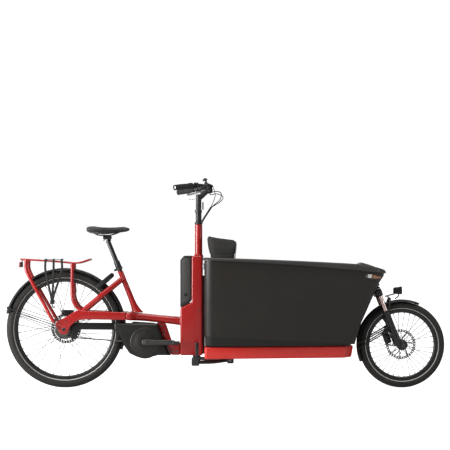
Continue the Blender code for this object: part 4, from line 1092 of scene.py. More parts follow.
# ---------------------------------------------------------------- frame
@dataclass
class RearFrame:
    """Beam, stays, seat tube and its collar."""

    stay_offset: float = 0.077

    def build(self) -> None:
        """Builds the red rear frame."""
        finished(refined("main_beam", 0.006, 20, 4), "main_beam_tube", "frame", RED, ["main_beam"])
        for side in Side:
            self.stay(side)
        self.seat_tube()
        self.yoke_welds()

    def stay(self, side: Side) -> None:
        """One side's chainstay plate with its dropout, and its seat stay."""
        label = side.name.lower()
        outline = [(-0.592, 0.4095), (-0.592, 0.4555), (-0.84, 0.465), (-0.868, 0.47), (-0.89, 0.465),
            (-0.905, 0.456), (-1.012, 0.393), (-1.014, 0.38), (-1.006, 0.365),
            *arc((REAR_AXLE.x, REAR_AXLE.z), 0.03, 200, 330, 12), (-0.925, 0.368), (-0.905, 0.39), (-0.888, 0.401),
            (-0.87, 0.408), (-0.83, 0.413)]
        bm = bmesh.new()
        slab(bm, outline, side * self.stay_offset, 0.0258, 0.006, 4)
        lower = Vector((-0.874, side * self.stay_offset, 0.4427))
        upper = Vector((-0.634, side * 0.04, 0.642))
        lean = (upper - lower).normalized().cross(ACROSS)
        outlines = []
        for share in (0.0, 0.15, 0.3, 0.45, 0.55, 0.66, 0.78, 0.9, 1.0, 1.05, 1.09):
            middle = lower + (upper - lower) * share
            inward = (self.stay_offset - 0.0305) * max(0.0, share - 0.55) / 0.45 + 0.1 * max(0.0, share - 1.0)
            middle.y = side * (self.stay_offset - inward)
            wide = 0.011 - 0.001 * share
            outlines.append([middle + lean * (0.016 * cos(a)) + ACROSS * (wide * sin(a)) for a in ringed(24)])
        skin(bm, outlines)
        finished(bm, f"rear_stay_{label}_tube", "frame", RED, [f"rear_stay_{label}"], 40)
        bm = bmesh.new()
        face = side * (self.stay_offset + 0.013)
        for x, z in mm((-985, 386), (-948, 402)):
            bolt(bm, (x, face - side * 0.0004, z), ACROSS * side, 0.0042, 0.0032)
        finished(bm, f"dropout_bolts_{label}", "frame", BOLT)

    def seat_tube(self) -> None:
        """The flared seat tube and the clamp at its top."""
        outlines = []
        for height, half_x, half_y, forward in ((0.4548, 0.0345, 0.0245, 0.006), (0.462, 0.031, 0.023, 0.005),
                (0.472, 0.0275, 0.0218, 0.003), (0.486, 0.0235, 0.0202, 0.0015), (0.505, 0.0205, 0.0192, 0.0),
                (0.53, 0.0186, 0.0183, 0.0), (0.64, 0.0175, 0.0175, 0.0), (0.699, 0.0175, 0.0175, 0.0)):
            middle = SEAT_TOP + UP_SEAT * ((height - SEAT_TOP.z) / UP_SEAT.z)
            outlines.append([middle + Vector((forward + half_x * cos(a), half_y * sin(a), 0)) for a in ringed(36)])
        bm = bmesh.new()
        skin(bm, outlines)
        finished(bm, "seat_tube_swept", "frame", RED, ["seat_tube"], 50)
        bm = bmesh.new()
        base = SEAT_TOP + UP_SEAT * 0.01
        spun(bm, mm((15.2, 16.5), (15.2, 0), (19.6, 0), (20.6, 1), (20.6, 15.5), (19.6, 16.5)), base,
            UP_SEAT, 40, closed=True)
        ear = SEAT_TOP + UP_SEAT * 0.018 + Vector((-0.026, 0, -0.01))
        for side in Side:
            box(bm, ear + Vector((0.002, side * 0.0056, 0)), (0.014, 0.0085, 0.012), 0.0015, tilted(-22))
        finished(bm, "seat_clamp", "frame", BLACK, ["seat_collar"])
        bm = bmesh.new()
        bolt(bm, ear + Vector((0.0, -0.0096, 0)), -ACROSS, 0.0036, 0.0036)
        cone(bm, ear + Vector((0, -0.0096, 0)), ear + Vector((0, 0.0118, 0)), 0.0022, sides=12)
        finished(bm, "seat_clamp_bolt", "frame", BOLT)

    def yoke_welds(self) -> None:
        """Beads of weld where the stays and the seat tube meet the beam."""
        bm = bmesh.new()
        loop = [Vector((-0.625 + 0.037 * cos(a) + 0.095, 0.0265 * sin(a), 0.4555 - 0.035 * 0.037 * cos(a)))
            for a in (tau * k / 40 for k in range(41))]
        bead(bm, loop)
        for side in Side:
            for x, z in mm((-593, 455.5), (-593, 409.2)):
                run = [Vector((x, side * (0.064 + 0.0026 * k), z)) for k in range(11)]
                bead(bm, run, 0.002)
        finished(bm, "yoke_weld_beads", "frame", RED, smooth=60)


@dataclass
class BatteryColumn:
    """The upright column, its head tube, the battery and the motor's bracket."""

    top: float = 0.794
    head_top: float = 0.982
    half: float = 0.07

    def build(self) -> None:
        """Builds the column's pieces."""
        bm = bmesh.new()
        outline = [(-0.268, 0.197), (-0.134, 0.197), (-0.134, self.top), (-0.1995, self.top),
            (-0.1995, 0.514), (-0.268, 0.481)]
        slab(bm, outline, 0.0, 2 * self.half, 0.01, 5)
        spun(bm, [(0.0, self.head_top), (0.0166, self.head_top), (0.0225, self.head_top - 0.0015),
            (0.0225, self.top + 0.012), (0.025, self.top + 0.004), (0.029, self.top - 0.001),
            (0.029, self.top - 0.01), (0.0, self.top - 0.01)], Vector((STEER_X, 0, 0)), UPWARD, 48)
        finished(bm, "battery_column_box", "frame", RED, ["battery_column"], 40)
        self.battery()
        bm = bmesh.new()
        slab(bm, mm((-411, 392.5), (-357, 385.5), (-319, 276), (-268.5, 271), (-268.5, 197), (-324, 197),
            (-375, 312)), 0.0, 0.07, 0.009, 4)
        finished(bm, "motor_bracket", "frame", RED, ["motor_mount"], 40)
        bm = bmesh.new()
        for side in Side:
            for x, z in mm((-384, 372), (-366, 338), (-318, 222), (-290, 222)):
                bolt(bm, (x, side * 0.0348, z), ACROSS * side, 0.0055, 0.0045)
            for z in (0.232, 0.47):
                bolt(bm, (-0.152, side * 0.0698, z), ACROSS * side, 0.005, 0.0035)
        finished(bm, "column_bolts", "frame", BOLT)
        bm = bmesh.new()
        low, high = 0.3765, 0.425
        for side in Side:
            bead(bm, [Vector((-0.27, side * 0.0455, low + (high - low) * k / 12)) for k in range(13)])
        top = [Vector((-0.2698, -0.045 + 0.09 * k / 22, 0.4262)) for k in range(23)]
        bead(bm, top)
        finished(bm, "column_weld_beads", "frame", RED, smooth=60)

    def battery(self) -> None:
        """The battery's casing with its side panels, lock and charge window."""
        outline = [(-0.268, 0.4825), (-0.2143, 0.508), (-0.1985, 0.53), (-0.1985, self.top), (-0.24, self.top),
            (-0.248, self.top - 0.003), (-0.266, self.top - 0.024), (-0.268, self.top - 0.032)]
        bm = bmesh.new()
        slab(bm, outline, 0.0, 0.128, 0.004, 3)
        finished(bm, "battery_casing", "frame", CASING, ["battery_pack"], 40)
        bm = bmesh.new()
        for side in Side:
            slab(bm, mm((-259.5, 506), (-220, 526), (-209, 542), (-209, 770), (-220, 780), (-248, 780),
                (-259.5, 764)), side * 0.0644, 0.0016, 0.0006, 2)
        finished(bm, "battery_side_panels", "frame",
            Moulded(colour=(0.052, 0.051, 0.049), roughness=0.44, grain=1000.0))
        bm = bmesh.new()
        cone(bm, Vector((-0.235, -0.069, 0.56)), Vector((-0.235, -0.064, 0.56)), 0.0085, sides=28)
        spun(bm, mm((0, 0.8), (6, 0.8), (6, 0), (0, 0)), Vector((-0.235, -0.069, 0.56)), -ACROSS, 24)
        finished(bm, "battery_lock", "frame", GLOSS_BLACK)
        bm = bmesh.new()
        for k in range(5):
            box(bm, (-0.2665, -0.018 + 0.009 * k, 0.735), (0.003, 0.0055, 0.011), 0.001)
        finished(bm, "charge_window", "frame", Lens(colour=(0.2, 0.28, 0.22), metallic=0.0, rib=0.004))


# ---------------------------------------------------------------- platform and box
class Platform:
    """The tapering tray under the box, and the tube that rises to the front head tube."""

    def build(self) -> None:
        """Builds the tray, its trims, and the down tube."""
        # The tray's red is a brighter copy of the frame's: painted light.
        finished(refined("platform", 0.0045, 25, 4), "platform_tray", "frame", PLATFORM_RED_PAINTED_LIGHT, ["platform"], 40)
        bm = bmesh.new()
        route = flow(mm((715, 0, 256), (726, 0, 320), (742, 0, 410), (782, 0, 510), (836, 0, 610), (884, 0, 660)), 8)
        rod(bm, route, 0.0259, 36)
        low, high = 0.0325, 0.1395
        spun(bm, [(0.017, high), (0.0245, high), (0.0285, high - 0.002), (0.0285, high - 0.012),
            (0.0268, high - 0.015), (0.0268, low + 0.015), (0.0285, low + 0.012), (0.0285, low + 0.002),
            (0.0245, low), (0.017, low)], CROWN, UP_FORK, 44, closed=True)
        finished(bm, "front_tube_swept", "frame", RED, ["front_down_tube"], 40)
        bm = bmesh.new()
        spun(bm, [(0.025, low - 0.001), (0.029, low - 0.001), (0.03, low + 0.001), (0.03, 0.07), (0.0292, 0.0716),
            (0.025, 0.0716)], CROWN, UP_FORK, 44, closed=True)
        finished(bm, "front_headset_cup", "frame", BLACK, smooth=30)


def rim_share(x: float) -> float:
    """How far along the box this X is, from the rear wall."""
    return (x + 0.12) / 1.01


def wall_top(x: float) -> float:
    """Height of the lip's lower edge along the box."""
    u = rim_share(x)
    return 0.7655 - 0.03 * u - 0.04 * u * u


def rim_top(x: float) -> float:
    """Height of the lip's upper edge along the box."""
    u, drop = rim_share(x), max(0.0, x - 0.76)
    return 0.783 - 0.026 * u - 0.0185 * u * u - 0.75 * drop * drop


def band_top(x: float) -> float:
    """Height of the lower band's top along the box."""
    return 0.3165 - 0.047 * max(0.0, x + 0.05) / 0.86


@dataclass
class LoadBox:
    """The moulded tub with its lower band, its rolled lip, the nose hood, markers and latches."""

    rear: float = -0.121
    bottom: float = 0.2595
    rise: float = 0.51
    straight_top: float = 0.7
    wall: float = 0.006
    bottom_front: float = 0.75
    rake: float = 0.435
    groove: float = 0.1
    corner: int = 9

    def outline(self, height: float, offset: float = 0.0, groove: bool = True) -> Outline:
        """The outline from above.

        Args:
            height: The level it is taken at.
            offset: How far it is grown.
            groove: Whether the front wall has the groove for the fork.

        Returns:
            The outline's (x, y) points.
        """
        t = (height - self.bottom) / self.rise
        rear, front = self.rear - offset, self.bottom_front + self.rake * (height - self.bottom) + offset
        wide, narrow = 0.246 + 0.072 * t + offset, 0.146 + 0.09 * t + offset
        small, large = 0.05 + offset, 0.03 + 0.055 * t + offset
        half = []
        for i in range(self.corner + 1):
            a = radians(180 - 90 * i / self.corner)
            half.append((rear + small + small * cos(a), wide - small + small * sin(a)))
        for k in range(1, 12):
            share = k / 12
            x = (rear + small) + (front - large - rear - small) * share
            half.append((x, wide + (narrow - wide) * share + 0.016 * sin(pi * share)))
        for i in range(self.corner + 1):
            a = radians(90 - 90 * i / self.corner)
            half.append((front - large + large * cos(a), narrow - large + large * sin(a)))
        edge, soft = self.groove - offset, 0.01
        if groove:
            deep = float(np.interp(height, (self.bottom, 0.4, 0.55, 0.7), (0.668, 0.69, 0.742, 0.8))) + offset
            half += [(front, edge + soft), (front - soft * 0.3, edge + soft * 0.3), (front - soft, edge),
                (deep + soft, edge), (deep + soft * 0.3, edge - soft * 0.3), (deep, edge - soft)]
        else:
            half += [(front, self.groove * s) for s in (0.95, 0.8, 0.65, 0.5, 0.35, 0.15)]
        return half + [(x, -y) for x, y in reversed(half)]

    def level(self, height: float, offset: float, brim: bool = False, follow: float = 0.0) -> list[Vector]:
        """One level of the tub.

        Args:
            height: Its height.
            offset: How far it is grown.
            brim: Whether it follows the lip's lower edge.
            follow: How far below the lip's lower edge it stays, where it follows it.

        Returns:
            The level's points.
        """
        return [Vector((x, y, wall_top(x) + 0.006 - follow if brim else height)) for x,
            y in self.outline(min(height, self.straight_top), offset)]

    def band_level(self, rise: float, offset: float) -> list[Vector]:
        """A level that follows the top of the lower band, which climbs down towards the nose."""
        return [Vector((x, y, band_top(x) + rise)) for x, y in self.outline(0.315, offset)]

    def build(self) -> None:
        """Builds all of the box's pieces."""
        self.tub()
        self.lip()
        self.hood()
        self.fittings()

    def tub(self) -> None:
        """Outer and inner walls in one skin, with a recessed band along the foot."""
        bm = bmesh.new()
        inner = -self.wall
        skin(bm, [self.level(self.bottom + 0.008, -0.03), self.level(self.bottom + 0.0006, -0.018),
            self.level(self.bottom, -0.0115), self.level(self.bottom + 0.004, -0.005),
            self.level(self.bottom + 0.01, -0.0034), self.band_level(-0.0035, -0.0032),
            self.band_level(0.0005, -0.002), self.band_level(0.004, -0.0004), self.band_level(0.009, 0.0),
            self.level(0.4, 0.0), self.level(0.46, 0.0007), self.level(0.55, 0.0), self.level(0.63, 0.0004),
            self.level(self.straight_top, 0.0, True, 0.02), self.level(self.straight_top, 0.0, True, 0.004),
            self.level(self.straight_top, 0.0, True), self.level(self.straight_top, inner, True),
            self.level(0.63, inner), self.level(0.55, inner), self.level(0.4, inner),
            self.level(self.bottom + 0.022, inner), self.level(self.bottom + 0.015, inner - 0.003),
            self.level(self.bottom + 0.0125, inner - 0.014)])
        tub = finished(bm, "load_tub", "frame", TUB, ["cargo_box"], 42).data
        tub.materials.append(TUB_DARK.material())
        for face in tub.polygons:
            middle = face.center
            outer = face.normal.z <= 0.9 and self.is_outer(middle)
            if self.bottom + 0.002 < middle.z < band_top(middle.x) and outer:
                face.material_index = 1

    def is_outer(self, point: Vector) -> bool:
        """Whether a point of the wall lies on its outer face."""
        height = min(point.z, self.straight_top)
        share = (height - self.bottom) / self.rise
        rear = point.x < self.rear + 0.004
        sideways = abs(point.y) > 0.146 + 0.08 * share
        ahead = point.x > self.bottom_front + self.rake * (height - self.bottom) - 0.0055
        return rear or ahead or (sideways and self.past_side(point))

    def past_side(self, point: Vector) -> bool:
        """Whether a point is beyond the middle of the side wall."""
        ys = [(x, y) for x, y in self.outline(min(point.z, self.straight_top), -0.0045) if y > 0.101]
        xs, heights = [p[0] for p in ys], [p[1] for p in ys]
        return abs(point.y) > float(np.interp(point.x, xs, heights))

    def lip(self) -> None:
        """The rolled lip, broader and softer than the wall."""
        def loop(offset: float, height: Callable[[float], float]) -> list[Vector]:
            """One line of the lip's section, all the way round."""
            return [Vector((x, y, height(x))) for x, y in self.outline(self.straight_top, offset, groove=False)]
        bm = bmesh.new()
        skin(bm, [loop(0.0117, wall_top), loop(0.0119, lambda x: wall_top(x) + 0.003),
            loop(0.01, lambda x: rim_top(x) - 0.0075), loop(0.0078, lambda x: rim_top(x) - 0.0036),
            loop(0.004, lambda x: rim_top(x) - 0.0009), loop(0.0, rim_top),
            loop(-0.005, lambda x: rim_top(x) - 0.0003), loop(-0.009, lambda x: rim_top(x) - 0.0022),
            loop(-0.0108, lambda x: rim_top(x) - 0.0065), loop(-0.0108, lambda x: wall_top(x) + 0.0105),
            loop(0.0016, lambda x: wall_top(x) + 0.0105), loop(0.0016, wall_top)], loop=True)
        # Finished in a lighter copy of the tub's plastic: painted light for the light falling on the lip's top.
        finished(bm, "tub_lip", "frame", LIP_PAINTED_LIGHT, ["box_rim"], 50)

    def hood(self) -> None:
        """The hood over the fork's head tube, from its CAD shape, rounded."""
        bm = refined("nose_cowl", 0.0, flat=0.01)
        hood = finished(bm, "nose_hood", "frame", TUB, ["nose_cowl"], 60)
        soften = hood.modifiers.new("soften", "SUBSURF")
        soften.levels = soften.render_levels = 2
        soften.use_limit_surface = False

    def strip(self, start: float, end: float, proud: float, side: Side) -> list[Vector]:
        """The line of a marker lamp along the side and round the nose's corner.

        Args:
            start: Its first x.
            end: Its last x.
            proud: How far it stands off the wall.
            side: Which side of the box.

        Returns:
            The line's points.
        """
        wall = [(x, y) for x, y in self.outline(0.674, proud, groove=False) if y > 0.11 and x > 0.5]
        xs, ys = [x for x, _ in wall], [y for _, y in wall]
        spread = [start + (end - start) * k / 12 for k in range(13)]
        return [Vector((x, side * float(np.interp(x, xs, ys)), 0.6765 - 0.055 * (x - 0.875))) for x in spread]

    def fittings(self) -> None:
        """Marker lamps at the nose and latches at the rear."""
        for side in Side:
            label = side.name.lower()
            for name, start, end, high, proud, finish in (("marker_bezel", 0.824, 0.925, 0.02, 0.0014,
                    Lens(colour=(0.085, 0.08, 0.074), metallic=0.2)),
                    ("marker_white", 0.838, 0.862, 0.015, 0.0032, Lens(colour=(0.86, 0.84, 0.8), metallic=0.15)),
                    ("marker_amber", 0.866, 0.919, 0.016, 0.0032, Lens(colour=(0.38, 0.13, 0.035), metallic=0.1))):
                bm = bmesh.new()
                run = self.strip(start, end, proud, side)
                heights = [high * (0.45 + 0.55 * sin(pi * (0.12 + 0.76 * k / (len(run) - 1)))) / 0.0024
                    for k in range(len(run))]
                rod(bm, run, 0.0024, 10, flat=heights, upright=UPWARD)
                finished(bm, f"{name}_{label}", "frame", finish, smooth=60)
        bm = bmesh.new()
        for side in Side:
            box(bm, (-0.1245, side * 0.25, 0.731), (0.01, 0.02, 0.034), 0.003)
            box(bm, (-0.1275, side * 0.25, 0.724), (0.006, 0.012, 0.014), 0.002)
        finished(bm, "box_latches", "frame", ALLOY)


# ---------------------------------------------------------------- soft goods
@dataclass
class Padding:
    """A stuffed piece: a starting shape, swollen by cloth under pressure, then sewn."""

    name: str
    body: str
    finish: Finish
    node: str
    voxel: float = 0.006
    cap: float = 0.009
    pressure: float = 4.0
    fill: float = 0.6

    def swell(self, bm: BMesh) -> bpy.types.Object:
        """Remeshes the shape and lets cloth under pressure swell it.

        Args:
            bm: The starting shape. It is freed.

        Returns:
            The swollen piece, with no cloth left on it.
        """
        piece = finished(bm, self.name, self.body, self.finish, [self.node], 75)
        remesh = piece.modifiers.new("remesh", "REMESH")
        remesh.mode, remesh.voxel_size, remesh.use_smooth_shade = "VOXEL", self.voxel, True
        self.settle(piece, ["remesh"])
        start = np.array([v.co for v in piece.data.vertices])
        cloth = piece.modifiers.new("swell", "CLOTH")
        cloth.settings.use_pressure = True
        cloth.settings.uniform_pressure_force = self.pressure
        cloth.settings.effector_weights.gravity = 0.0
        cloth.settings.tension_stiffness = cloth.settings.compression_stiffness = 22.0
        cloth.settings.shear_stiffness = 12.0
        cloth.settings.bending_stiffness = 1.2
        cloth.collision_settings.use_collision = False
        cloth.point_cache.frame_start, cloth.point_cache.frame_end = 1, 20
        for number in range(1, 21):
            bpy.context.scene.frame_set(number)
        graph = bpy.context.evaluated_depsgraph_get()
        swollen = np.array([v.co for v in piece.evaluated_get(graph).data.vertices])
        piece.modifiers.remove(cloth)
        bpy.context.scene.frame_set(1)
        move = swollen - start
        length = np.linalg.norm(move, axis=1, keepdims=True)
        move *= np.minimum(1.0, self.cap / np.maximum(length, 1e-9))
        piece.data.vertices.foreach_set("co", (start + move).astype(np.float32).ravel())
        soften = piece.modifiers.new("soften", "SUBSURF")
        soften.levels = soften.render_levels = 1
        self.settle(piece, ["soften"])
        piece.data.shade_smooth()
        return piece

    def settle(self, piece: bpy.types.Object, names: Sequence[str]) -> None:
        """Applies these modifiers to the piece's mesh."""
        graph = bpy.context.evaluated_depsgraph_get()
        graph.update()
        made = bpy.data.meshes.new_from_object(piece.evaluated_get(graph))
        piece.modifiers.clear()
        old = piece.data
        piece.data = made
        made.name = piece.name
        bpy.data.meshes.remove(old)
        log.info("%s settled: %s, %d faces", piece.name, ", ".join(names), len(made.polygons))

    def sew(self, piece: bpy.types.Object, seams: Sequence[tuple[Vector, Vector, float, float]]) -> None:
        """Presses seams into the surface.

        Args:
            piece: The piece.
            seams: For each, a point on a plane, the plane's normal, the depth and the half width.
        """
        mesh = piece.data
        where = np.array([v.co for v in mesh.vertices])
        out = np.array([v.normal for v in mesh.vertices])
        for point, normal, depth, half in seams:
            gap = (where - np.array(point)) @ np.array(Vector(normal).normalized())
            where = where - out * (depth * np.exp(-(gap / half) ** 2))[:, None]
        mesh.vertices.foreach_set("co", where.astype(np.float32).ravel())
        mesh.update()


class ChildBench:
    """Seat cushion and winged backrest at the rear of the box."""

    def build(self) -> None:
        """Builds both cushions, their piping and the harness straps."""
        self.cushion()
        self.backrest()
        self.harness()

    def cushion(self) -> None:
        """The seat cushion, with two sewn channels."""
        bm = bmesh.new()
        box(bm, (0.0925, 0, 0.404), (0.245 - 0.016, 0.36 - 0.016, 0.074), 0.022, segments=4)
        pad = Padding("bench_cushion", "frame", Weave(along=(0, 1)), "bench_seat")
        piece = pad.swell(bm)
        pad.sew(piece, [(Vector((0, y, 0)), ACROSS, 0.0045, 0.004) for y in (-0.062, 0.062)]
            + [(Vector((0.185, 0, 0)), AHEAD, 0.003, 0.004), (Vector((0, 0, 0.404)), UPWARD, 0.0022, 0.0022)])
        log.info("cushion sewn, %d points", len(piece.data.vertices))

    def backrest(self) -> None:
        """The backrest with its side wings, and light piping along its edge."""
        bm = refined("bench_back", 0.01, 35, 3, flat=1.0)
        centre = sum((v.co for v in bm.verts), Vector()) / len(bm.verts)
        for v in bm.verts:
            v.co = Vector((centre.x + (v.co.x - centre.x) * 0.975, v.co.y * 0.975, v.co.z + 0.002))
        pad = Padding("bench_backrest", "frame", Weave(along=(2, 1)), "bench_back", cap=0.006)
        piece = pad.swell(bm)
        pad.sew(piece, [(Vector((0, y, 0)), ACROSS, 0.004, 0.0036) for y in (-0.118, 0.118)]
            + [(Vector((0, 0, z)), UPWARD, 0.003, 0.0036) for z in (0.56, 0.69, 0.8)])
        bm = bmesh.new()
        for side in Side:
            edge = mm((-30, 150, 480), (20, 158, 580), (52, 162, 650), (59, 164, 770), (66, 162, 835),
                (66, 154, 872), (48, 140, 886))
            bent(bm, edge, side, 6, 0.0022, 10)
        finished(bm, "backrest_piping", "frame", Weave(colour=(0.2, 0.2, 0.2), thread=0.0012, along=(2, 0)))

    def harness(self) -> None:
        """Two shoulder straps and a buckle, lying on the backrest."""
        bm = bmesh.new()
        for side in Side:
            path = mm((-47, 55, 815), (-24, 56, 780), (-20, 54, 700), (-22, 48, 620), (-26, 36, 540),
                (-14, 20, 474), (30, 6, 456))
            bent(bm, path, side, 6, 0.013, 12, flat=0.1, upright=Vector((1, 0, 0.02)))
        finished(bm, "harness_straps", "frame", Strapping(), smooth=60)
        bm = bmesh.new()
        box(bm, (0.037, 0, 0.46), (0.052, 0.044, 0.013), 0.005)
        box(bm, (0.033, 0, 0.4675), (0.018, 0.022, 0.005), 0.002)
        finished(bm, "harness_buckle", "frame", FITTING)


# ---------------------------------------------------------------- fork and cockpit
@dataclass
class Fork:
    """Crown and stanchions, the sliding legs, the lamp and the front brake."""

    leg_offset: float = 0.064

    def build(self) -> None:
        """Builds the fork's pieces."""
        self.upper()
        self.lower()
        self.lamp()
        self.brake()

    def upper(self) -> None:
        """Forged crown, steerer, stanchions and their caps."""
        bm = bmesh.new()
        lean = Matrix.Rotation(-FORK_LEAN, 4, "Y")
        crown = box(bm, CROWN, (0.044, 0.176, 0.036), 0.0, lean)
        bevelled(bm, 0.01, 4, verts=crown)
        for side in Side:
            cone(bm, on_fork(-0.026, side=side * self.leg_offset),
                on_fork(0.019, side=side * self.leg_offset), 0.0222, 0.0215, 36)
        spun(bm, mm((0, 138), (16, 138), (16, 30), (25, 26), (27, 18), (0, 18)), CROWN, UP_FORK, 36)
        finished(bm, "fork_crown_forged", "fork", BLACK, ["fork_crown"], 40)
        bm = bmesh.new()
        for side in Side:
            cone(bm, on_fork(-0.16, side=side * self.leg_offset),
                on_fork(-0.02, side=side * self.leg_offset), 0.015, sides=36)
        finished(bm, "fork_stanchions", "fork", BrushedMetal(colour=(0.62, 0.5, 0.47), roughness=0.14,
            stretch=(1.0, 1.0, 22.0)))
        bm = bmesh.new()
        for side in Side:
            spun(bm, mm((0, 23), (10, 23), (12.5, 21.5), (15, 20.5), (15, 18), (0, 18)),
                CROWN + ACROSS * side * self.leg_offset, UP_FORK, 28)
        finished(bm, "fork_caps", "fork", ALLOY)

    def lower(self) -> None:
        """Cast legs with seals, the arch and the dropouts."""
        bm = bmesh.new()
        for side in Side:
            base = CROWN + ACROSS * (side * self.leg_offset)
            spun(bm, mm((15.6, -124.5), (19, -125), (20.5, -129), (20.5, -150), (19.5, -155), (19, -240),
                (19.6, -310), (20, -338), (17, -347), (0, -349.5)), base, UP_FORK, 36)
            spot = FRONT_AXLE + Vector((-0.012, side * self.leg_offset, 0.006))
            box(bm, spot, (0.046, 0.0195, 0.04), 0.0065)
            spun(bm, mm((7.5, 11), (15, 11), (16.5, 9.5), (16.5, -9.5), (15, -11), (7.5, -11)),
                FRONT_AXLE + ACROSS * (side * self.leg_offset), ACROSS, 32, closed=True)
        arch = flow([on_fork(-0.155, 0.004, -self.leg_offset), on_fork(-0.105, 0.028, -0.06),
            on_fork(-0.07, 0.048, -0.036), on_fork(-0.062, 0.053, 0.0), on_fork(-0.07, 0.048, 0.036),
            on_fork(-0.105, 0.028, 0.06), on_fork(-0.155, 0.004, self.leg_offset)], 6)
        rod(bm, arch, 0.0085, 20, flat=0.8, upright=UP_FORK)
        finished(bm, "fork_legs_cast", "fork_lower", GLOSS_BLACK, ["fork_lowers"], 40)
        bm = bmesh.new()
        for side in Side:
            base = CROWN + ACROSS * (side * self.leg_offset)
            spun(bm, mm((15.3, -119.5), (17.8, -120.5), (18.6, -125), (15.3, -125)), base, UP_FORK, 36, closed=True)
        finished(bm, "fork_seals", "fork_lower", HOSE)
        bm = bmesh.new()
        side_caps = FRONT_AXLE + ACROSS * -(self.leg_offset + 0.0112)
        spun(bm, mm((0, 1.6), (5, 1.6), (6, 4.5), (11.5, 4.5), (12.5, 3), (12.5, 0), (0, 0)), side_caps, -ACROSS, 32)
        finished(bm, "front_axle_cap", "fork_lower", BOLT)

    def lamp(self) -> None:
        """The headlight: a hooded case, a clear lens and its bracket."""
        bm = bmesh.new()
        middle = Vector((1.0395, 0, 0.584))
        body = box(bm, middle, (0.05, 0.05, 0.046), 0.0)
        for v in body:
            if v.co.x < middle.x:
                v.co.y *= 0.86
                v.co.z = middle.z + (v.co.z - middle.z) * 0.84 - 0.001
        bevelled(bm, 0.0085, 4)
        box(bm, middle + Vector((0.0205, 0, 0.0228)), (0.013, 0.044, 0.0026), 0.001)
        rod(bm, flow(mm((964, 0, 549), (976, 0, 551.5), (1002, 0, 559), (1022, 0, 564)), 6), 0.004, 14)
        rod(bm, [on_fork(-0.056, 0.052, 0.0), Vector((0.976, 0, 0.5515))], 0.004, 12)
        rod(bm, flow(mm((1046, 0, 568), (1046, 0, 556), (1040, 0, 545), (1024, 0, 535)), 5), 0.0034, 12)
        finished(bm, "lamp_case", "fork_lower", FITTING, ["headlight"])
        bm = bmesh.new()
        spun(bm, mm((0, 3), (10, 2.6), (17.5, 1.4), (19.2, 0), (0, 0)),
            middle + Vector((0.0238, 0, -0.001)), AHEAD, 36)
        finished(bm, "lamp_lens", "fork_lower", Lens(colour=(0.82, 0.83, 0.85), rib=0.004))
        bm = bmesh.new()
        spun(bm, mm((19, 1), (21.2, 2.6), (22.8, 1), (22.8, 0), (19, 0)), middle + Vector((0.0238, 0, -0.001)),
            AHEAD, 36, closed=True)
        finished(bm, "lamp_bezel", "fork_lower", GLOSS_BLACK)

    def brake(self) -> None:
        """Front caliper with its bolts and fins."""
        finished(refined("front_caliper", 0.0012, 25, 2), "front_caliper_body", "fork_lower", GLOSS_BLACK,
            ["front_caliper"], 30)
        bm = bmesh.new()
        lean = tilted(-20)
        for up in (-0.024, 0.024):
            spot = Vector((0.978, 0.0566, 0.298)) + lean.to_3x3() @ Vector((0.0, 0, up))
            bolt(bm, spot, ACROSS, 0.0048, 0.003)
        box(bm, Vector((0.966, 0.039, 0.298)), (0.006, 0.026, 0.03), 0.0015, lean)
        finished(bm, "front_caliper_bolts", "fork_lower", BOLT)


